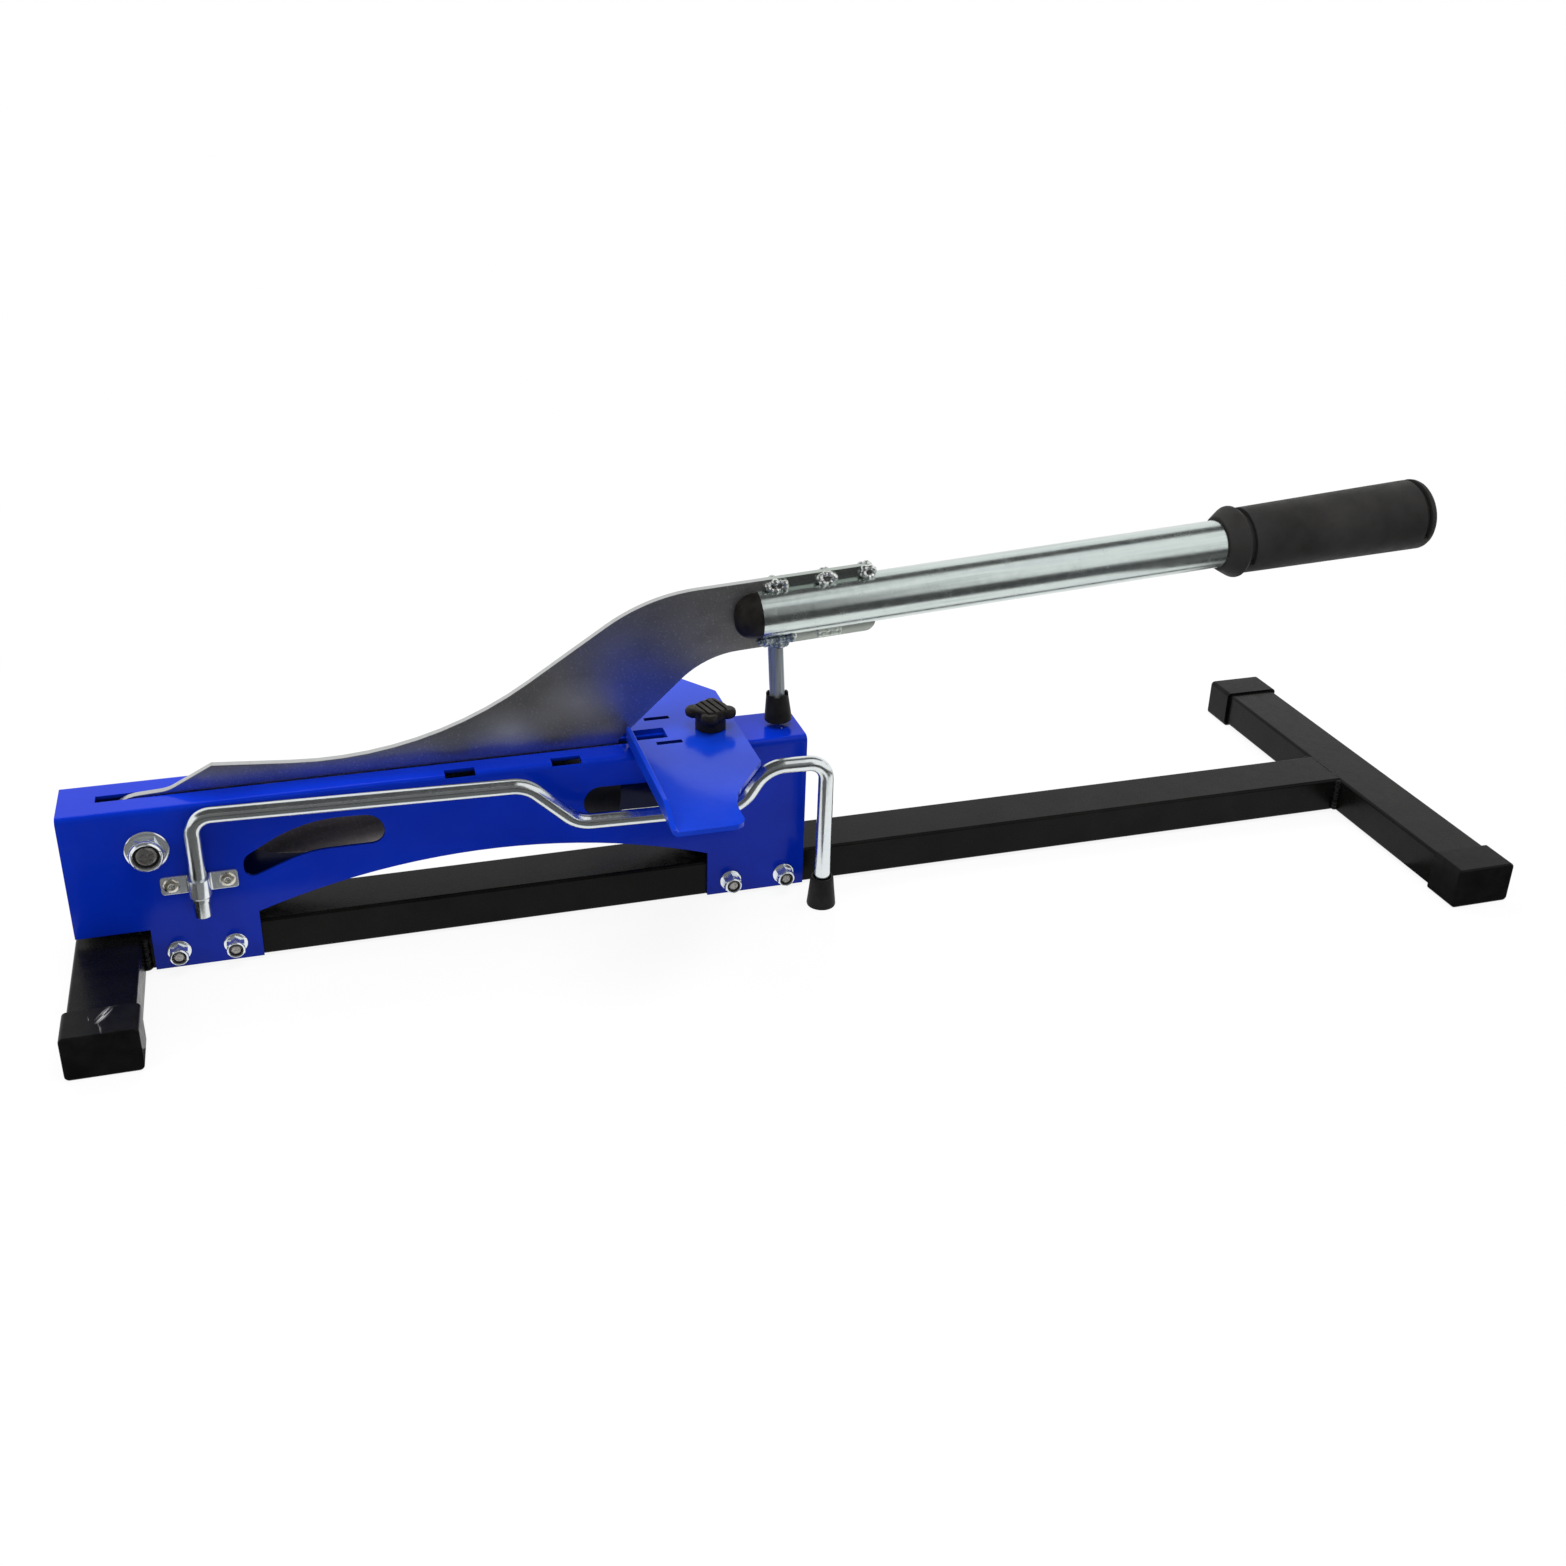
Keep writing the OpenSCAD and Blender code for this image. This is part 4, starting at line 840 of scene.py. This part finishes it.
for low, high in slots:
    choose(grip, "faces", lambda c: (
        low * mm < c.z < high * mm and Vector((c.x, c.y)).length > grip_skin and c.x < slot_reach
    ))
    bpy.ops.mesh.extrude_region_move(TRANSFORM_OT_translate={"value": (0, 0, 0)})
    bpy.ops.transform.resize(value=slot_sink, center_override=(0, 0, (low + high) / 2 * mm))
    bpy.ops.object.mode_set(mode="OBJECT")
grip = put(grip, on_lever @ Matrix.Translation((0, 0, grip_from * mm)))
settle(grip, "grip_sleeve", "lever", grip_rubber, ("grip",), sharp=38)

# Stop: a short plated rod welded under the tail, with a conical rubber bumper pushed onto its end that
# lands on the housing. The bumper's mouth is open round the rod and has a notched rim.
rod_zinc = new_finish("dull_rod_zinc", metal=0.5)
drawn_lines = mottle(rod_zinc, 1.0, 3, where=placed(rod_zinc, (420, 420, 14)))
give(rod_zinc, "Base Color", tones(
    rod_zinc, drawn_lines, (0.3, (0.17, 0.20, 0.22)), (0.7, (0.30, 0.33, 0.34)),
))
give(rod_zinc, "Roughness", tones(rod_zinc, drawn_lines, (0.3, 0.16), (0.75, 0.26)))
dress("stop_rod", rod_zinc)
soft_rubber = new_finish("soft_black_rubber", shine=0.1)
coloured(soft_rubber, (
    (0.3, (0.006, 0.006, 0.0056)), (0.8, (0.016, 0.0155, 0.015)),
), scale=120, detail=4)
dulled(soft_rubber, ((0.3, 0.4), (0.75, 0.58)), scale=400, detail=3)
pebbled(soft_rubber, scale=1400, detail=2, strength=0.1, depth=0.0003)

bumper_drop, bumper_tall, notch_deep, notches = 75.96, 19, 1.4, 5
rim_at = bumper_tall - notch_deep
bumper = lathed([
    (0, 8.2), (0.3, 8.8), (1.0, 9.0), (2.0, 8.85), (10.5, 7.95), (16.0, 7.35), (rim_at, 7.2), (rim_at, 6.1),
    (12.5, 5.7), (4.0, 5.15),
], 60)
choose(bumper, "faces", lambda c: (
    abs(c.z - rim_at * mm) < close and math.cos(notches * math.atan2(c.y, c.x)) > 0.1
))
bpy.ops.mesh.extrude_region_move(TRANSFORM_OT_translate={"value": (0, 0, notch_deep * mm)})
bpy.ops.object.mode_set(mode="OBJECT")
bumper_foot = lever_point(stop_along, -bumper_drop, 0)
put(bumper, Matrix.Translation(bumper_foot) @ Matrix.Rotation(-lever_tilt, 4, "Y"))
settle(bumper, "stop_bumper_rubber", "lever", soft_rubber, ("stop_bumper",), sharp=38)

# Fence: a flat plate across the housing with one long edge folded up as the stop for the board, a notch
# for the blade, two narrow slots and waisted wings, in a slightly paler coat of the same blue. The walls
# of the slots and a thin rim round them are darkened as painted shade.
slot_half, slot_shade_scale = Vector((8.3 * mm, 2.15 * mm, 10 * mm)), 0.97
slot_places = [(-84.75 * mm, slot_y, housing_high.z) for slot_y in (-14.5 * mm, 21.5 * mm)]
fence_paint = new_finish("fence_blue_coat", shine=0.2)
coat = tones(
    fence_paint, mottle(fence_paint, scale=22, detail=4),
    (0.3, (0.0026, 0.031, 0.41)), (0.75, (0.0046, 0.040, 0.48)),
)
# Painted shade: each slot's walls and a thin rim round it are darkened to a deep blue.
for slot_place in slot_places:
    from_slot = finish_node(fence_paint, "VectorMath", "ABSOLUTE", placed(
        fence_paint, [slot_shade_scale / h for h in slot_half], slot_place,
    ))
    sides = finish_node(fence_paint, "SeparateXYZ", None, from_slot.outputs[0])
    far_side = finish_node(fence_paint, "Math", "MAXIMUM", sides.outputs["X"], sides.outputs["Y"])
    slot_painted_shade = tones(fence_paint, far_side.outputs[0], (0.975, 1.0), (1.0, 0.0))
    coat = blended(fence_paint, slot_painted_shade, coat, (0.001, 0.009, 0.11))
give(fence_paint, "Base Color", coat)
dulled(fence_paint, ((0.3, 0.13), (0.7, 0.20)), scale=120, detail=3)
pebbled(fence_paint, scale=420, detail=2, strength=0.05, depth=0.0006)
fence = softened_copy("fence_plate", 0.4 * mm)
for slot_place in slot_places:
    bpy.ops.mesh.primitive_cube_add(size=2, location=slot_place)
    punch = bpy.context.object
    punch.scale = slot_half
    shape_with(fence, "BOOLEAN", operation="DIFFERENCE", object=punch, solver="EXACT")
    bpy.data.objects.remove(punch)
settle(fence, "fence_sheet", "fence", fence_paint, ("fence_plate",), sharp=30)

# Knob: a moulded star with four lobes and grooves across its top on a round hub, with a steel stud that
# goes through the fence into a weld nut under the housing's top.
knob_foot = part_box("fence_knob")[0].z
knob_at = Vector((anchor["knob_spin"].x, 0, knob_foot))
hub_tall, star_top, lobe_count, lobe_out, knob_turn = 7.6, 14.8, 4, 10.6, 18
groove_way, groove_pitch, groove_size = math.radians(-75), 4.4, (19 * mm, 1.5 * mm, 3.0 * mm)
lumps = [
    lathed([(0, 9.6), (0.4, 10.0), (hub_tall - 1, 9.8), (hub_tall + 3, 9.6), (hub_tall + 4, 9.0)], 48),
    lathed([(hub_tall - 0.4, 9.6), (hub_tall + 0.8, 11.0), (star_top - 0.8, 11.0), (star_top, 9.8)], 48),
]
for i in range(lobe_count):
    turn = math.radians(360 / lobe_count * i - knob_turn)
    lobe = lathed([
        (hub_tall, 3.9), (hub_tall + 1, 5.3), (hub_tall + 2.2, 5.8), (star_top - 3.0, 5.8),
        (star_top - 1.6, 5.2), (star_top - 0.8, 3.8),
    ], 32)
    lobe.location = (lobe_out * mm * math.cos(turn), lobe_out * mm * math.sin(turn), 0)
    lumps.append(lobe)
knob = applied(joined(lumps))
shape_with(knob, "REMESH", mode="VOXEL", voxel_size=0.34 * mm)
shape_with(knob, "SMOOTH", factor=0.5, iterations=6)
for i in range(-2, 2):
    off = (i + 0.5) * groove_pitch * mm
    place = Vector((-math.sin(groove_way) * off, math.cos(groove_way) * off, (star_top + 0.3) * mm))
    bpy.ops.mesh.primitive_cube_add(size=1, location=place, rotation=(0, 0, groove_way))
    cutter = bpy.context.object
    cutter.scale = groove_size
    shape_with(knob, "BOOLEAN", operation="DIFFERENCE", object=cutter, solver="EXACT")
    bpy.data.objects.remove(cutter)
put(knob, Matrix.Translation(knob_at))
settle(knob, "star_knob", "knob", black_plastic, ("fence_knob",), sharp=50)
dress("knob_stud", turned_steel)
dress("fence_weld_nut", turned_steel)

# Support arm: one length of 10 mm plated rod, bent cold to an upright, a long run level with the board,
# a dip under the fence and a leg. It hangs in a saddle and swings out to carry the board's far end.
rod, square_bend, dip_bend = 10 * mm, 12 * mm, 22 * mm
arm_foot = Vector((anchor["arm_swing"].x, anchor["arm_swing"].y, 0))
arm_turn = math.radians(-2.7)
forward = Vector((math.cos(arm_turn), math.sin(arm_turn), 0))
swing = forward.cross(Vector((0, 0, 1)))


def bend_reach(turn, bend):
    return bend * math.tan(abs(math.radians(turn)) / 2)


pin_low, leg_end = 40 * mm, 6 * mm
run_high, dip, end_drop = 108 * mm, 29 * mm, 3 * mm
dip_from, dip_to, reach, down, up = 197 * mm, 348 * mm, 387.5 * mm, 43, 58
dip_end = dip_from + dip / math.tan(math.radians(down))
rise = dip - end_drop
rise_from = dip_to - rise / math.tan(math.radians(up))
square, fall, climb = bend_reach(90, square_bend), bend_reach(down, dip_bend), bend_reach(up, dip_bend)
crimp_low, crimp_tall, crimp_slope, crimp_swell = 11.2 * mm, 3.0 * mm, 0.5 * mm, 1.15
steps = [
    (run_high - pin_low - square - crimp_low - crimp_tall, -90, square_bend),
    (dip_from - square - fall, -down, dip_bend),
    (dip / math.sin(math.radians(down)) - 2 * fall, down, dip_bend),
    (rise_from - dip_end - fall - climb, up, dip_bend),
    (rise / math.sin(math.radians(up)) - 2 * climb, -up, dip_bend),
    (reach - dip_to - climb - square, -90, square_bend),
    (run_high - end_drop - square - leg_end, 0, 0),
]
end_bevel = 0.8 * mm
tip = arm_foot + Vector((0, 0, pin_low))
heading = 90.0
bpy.ops.mesh.primitive_circle_add(vertices=32, radius=rod / 2 - end_bevel, fill_type="NGON", location=tip)
arm = applied(bpy.context.object)
bpy.ops.object.mode_set(mode="EDIT")
bpy.ops.mesh.select_all(action="SELECT")


def along_heading(turn=0):
    angle = math.radians(heading + turn)
    return forward * math.cos(angle) + Vector((0, 0, math.sin(angle)))


def pushed(start, length, widen=1.0):
    bpy.ops.mesh.extrude_region_move(TRANSFORM_OT_translate={"value": along_heading() * length})
    end = start + along_heading() * length
    if widen != 1.0:
        bpy.ops.transform.resize(value=(widen, widen, 1), center_override=end)
    return end


for length, widen in (
    (end_bevel, rod / 2 / (rod / 2 - end_bevel)), (crimp_low - end_bevel, 1.0), (crimp_slope, crimp_swell),
    (crimp_tall - 2 * crimp_slope, 1.0), (crimp_slope, 1 / crimp_swell),
):
    tip = pushed(tip, length, widen)
for length, turn, bend in steps:
    tip = pushed(tip, length)
    if turn:
        centre = tip + along_heading(90 if turn > 0 else -90) * bend
        bpy.ops.mesh.spin(
            steps=max(5, round(abs(turn) / 6)), angle=-math.radians(turn), center=centre, axis=swing,
        )
        tip = centre + Matrix.Rotation(math.radians(turn), 3, swing) @ (tip - centre)
        heading += turn
bpy.ops.mesh.select_all(action="SELECT")
bpy.ops.mesh.remove_doubles(threshold=0.01 * mm)
bpy.ops.mesh.normals_make_consistent(inside=False)
bpy.ops.object.mode_set(mode="OBJECT")
settle(arm, "support_arm_rod", "arm", zinc, ("support_arm",), sharp=40)

# Arm foot: a conical ferrule of soft black rubber, moulded and pushed onto the end of the leg, with
# a rounded sole and a mouth that stands open round the rod.
foot_at = arm_foot + forward * reach
foot = lathed([
    (0, 8.8), (0.3, 9.3), (1.0, 9.5), (2.2, 9.4), (12, 8.35), (19.6, 7.6), (20.6, 7.45), (21, 7.1), (21, 6.0),
    (20.2, 5.6), (6.2, 5.1),
], 56)
put(foot, Matrix.Translation(foot_at))
settle(foot, "arm_foot_rubber", "arm", soft_rubber, ("support_foot",), sharp=38)

# Saddle: a strap of plated sheet pressed round the arm's upright, with a flat tab on each side that has
# rounded corners and lies on the housing's wall.
strap, strap_tall, tab_end, tab_round = 1.5 * mm, 12 * mm, 22.5, 2.2 * mm
saddle_x, saddle_mid = arm_foot.x, (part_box("arm_saddle")[0].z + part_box("arm_saddle")[1].z) / 2
loop, loop_y, wall_y = 5.06, arm_foot.y / mm, -wall / mm
half = [(-tab_end, wall_y), (-7.6, wall_y), (-6.6, wall_y - 0.2), (-5.7, wall_y - 0.8), (-5.2, wall_y - 1.8)]
half += [(-loop, wall_y - 3.0), (-loop, loop_y)]
path = list(half)
for a in range(15, 180, 15):
    path.append((-loop * math.cos(math.radians(a)), loop_y - loop * math.sin(math.radians(a))))
path += [(-x, y) for x, y in reversed(half)]
bpy.ops.mesh.primitive_plane_add(size=1, location=(0, 0, 0))
saddle = bpy.context.object
bpy.ops.object.mode_set(mode="EDIT")
bpy.ops.mesh.select_all(action="SELECT")
bpy.ops.mesh.delete(type="ONLY_FACE")
bpy.ops.object.mode_set(mode="OBJECT")
choose(saddle, "edges", lambda a, b: a.x > 0 or b.x > 0)
bpy.ops.mesh.delete(type="EDGE")
bpy.ops.object.mode_set(mode="OBJECT")
for corner, level in zip(saddle.data.vertices, (-1, 1)):
    corner.co = (saddle_x + path[0][0] * mm, path[0][1] * mm, saddle_mid + level * strap_tall / 2)
bpy.ops.object.mode_set(mode="EDIT")
bpy.ops.mesh.select_all(action="SELECT")
for (x0, y0), (x1, y1) in zip(path, path[1:]):
    bpy.ops.mesh.extrude_region_move(TRANSFORM_OT_translate={"value": ((x1 - x0) * mm, (y1 - y0) * mm, 0)})
bpy.ops.mesh.select_all(action="SELECT")
bpy.ops.mesh.normals_make_consistent(inside=False)
bpy.ops.object.mode_set(mode="OBJECT")
outward = 1 if saddle.data.polygons[0].normal.y < 0 else -1
shape_with(saddle, "SOLIDIFY", thickness=strap, offset=outward)
tab_line = tab_end * mm - close
choose(saddle, "edges", lambda a, b: (
    abs(a.x - saddle_x) > tab_line and abs(b.x - saddle_x) > tab_line and abs(a.y - b.y) > 0.8 * strap
))
bpy.ops.mesh.bevel(offset=tab_round, segments=5, affect="EDGES")
bpy.ops.object.mode_set(mode="OBJECT")
shape_with(saddle, "BEVEL", width=0.35 * mm, segments=2, limit_method="ANGLE", angle_limit=math.radians(50))
settle(saddle, "saddle_strap", "base", nut_zinc, ("arm_saddle",), sharp=40)

# Rivets: two blind rivets of bright alloy through the saddle's tabs, domed, with the hole that the
# broken mandrel leaves in the middle.
rivet_alloy = new_finish("rivet_alloy", metal=1.0)
coloured(rivet_alloy, ((0.3, (0.60, 0.56, 0.46)), (0.7, (0.82, 0.80, 0.74))), scale=400, detail=4)
dulled(rivet_alloy, ((0.3, 0.2), (0.75, 0.4)), scale=900, detail=3)
rivet_half_pitch = 16.2 * mm
rivet = lathed([
    (-6.4, 1.1), (-6.4, 3.36), (-4.0, 3.36), (-4.0, 2.4), (0, 2.4), (0, 4.6), (0.3, 4.8), (0.7, 4.5),
    (1.1, 3.9), (1.4, 3.0), (1.44, 2.0), (1.2, 1.6), (0.3, 1.3), (-3.0, 1.1),
], 40)
put(rivet, Matrix.Translation((0, -wall - strap, 0)) @ Matrix.Rotation(math.radians(90), 4, "X"))
rivets = copies_at(rivet, [(saddle_x + side * rivet_half_pitch, 0, saddle_mid) for side in (-1, 1)])
settle(rivets, "saddle_blind_rivets", "base", rivet_alloy, ("saddle_rivets",), sharp=35)
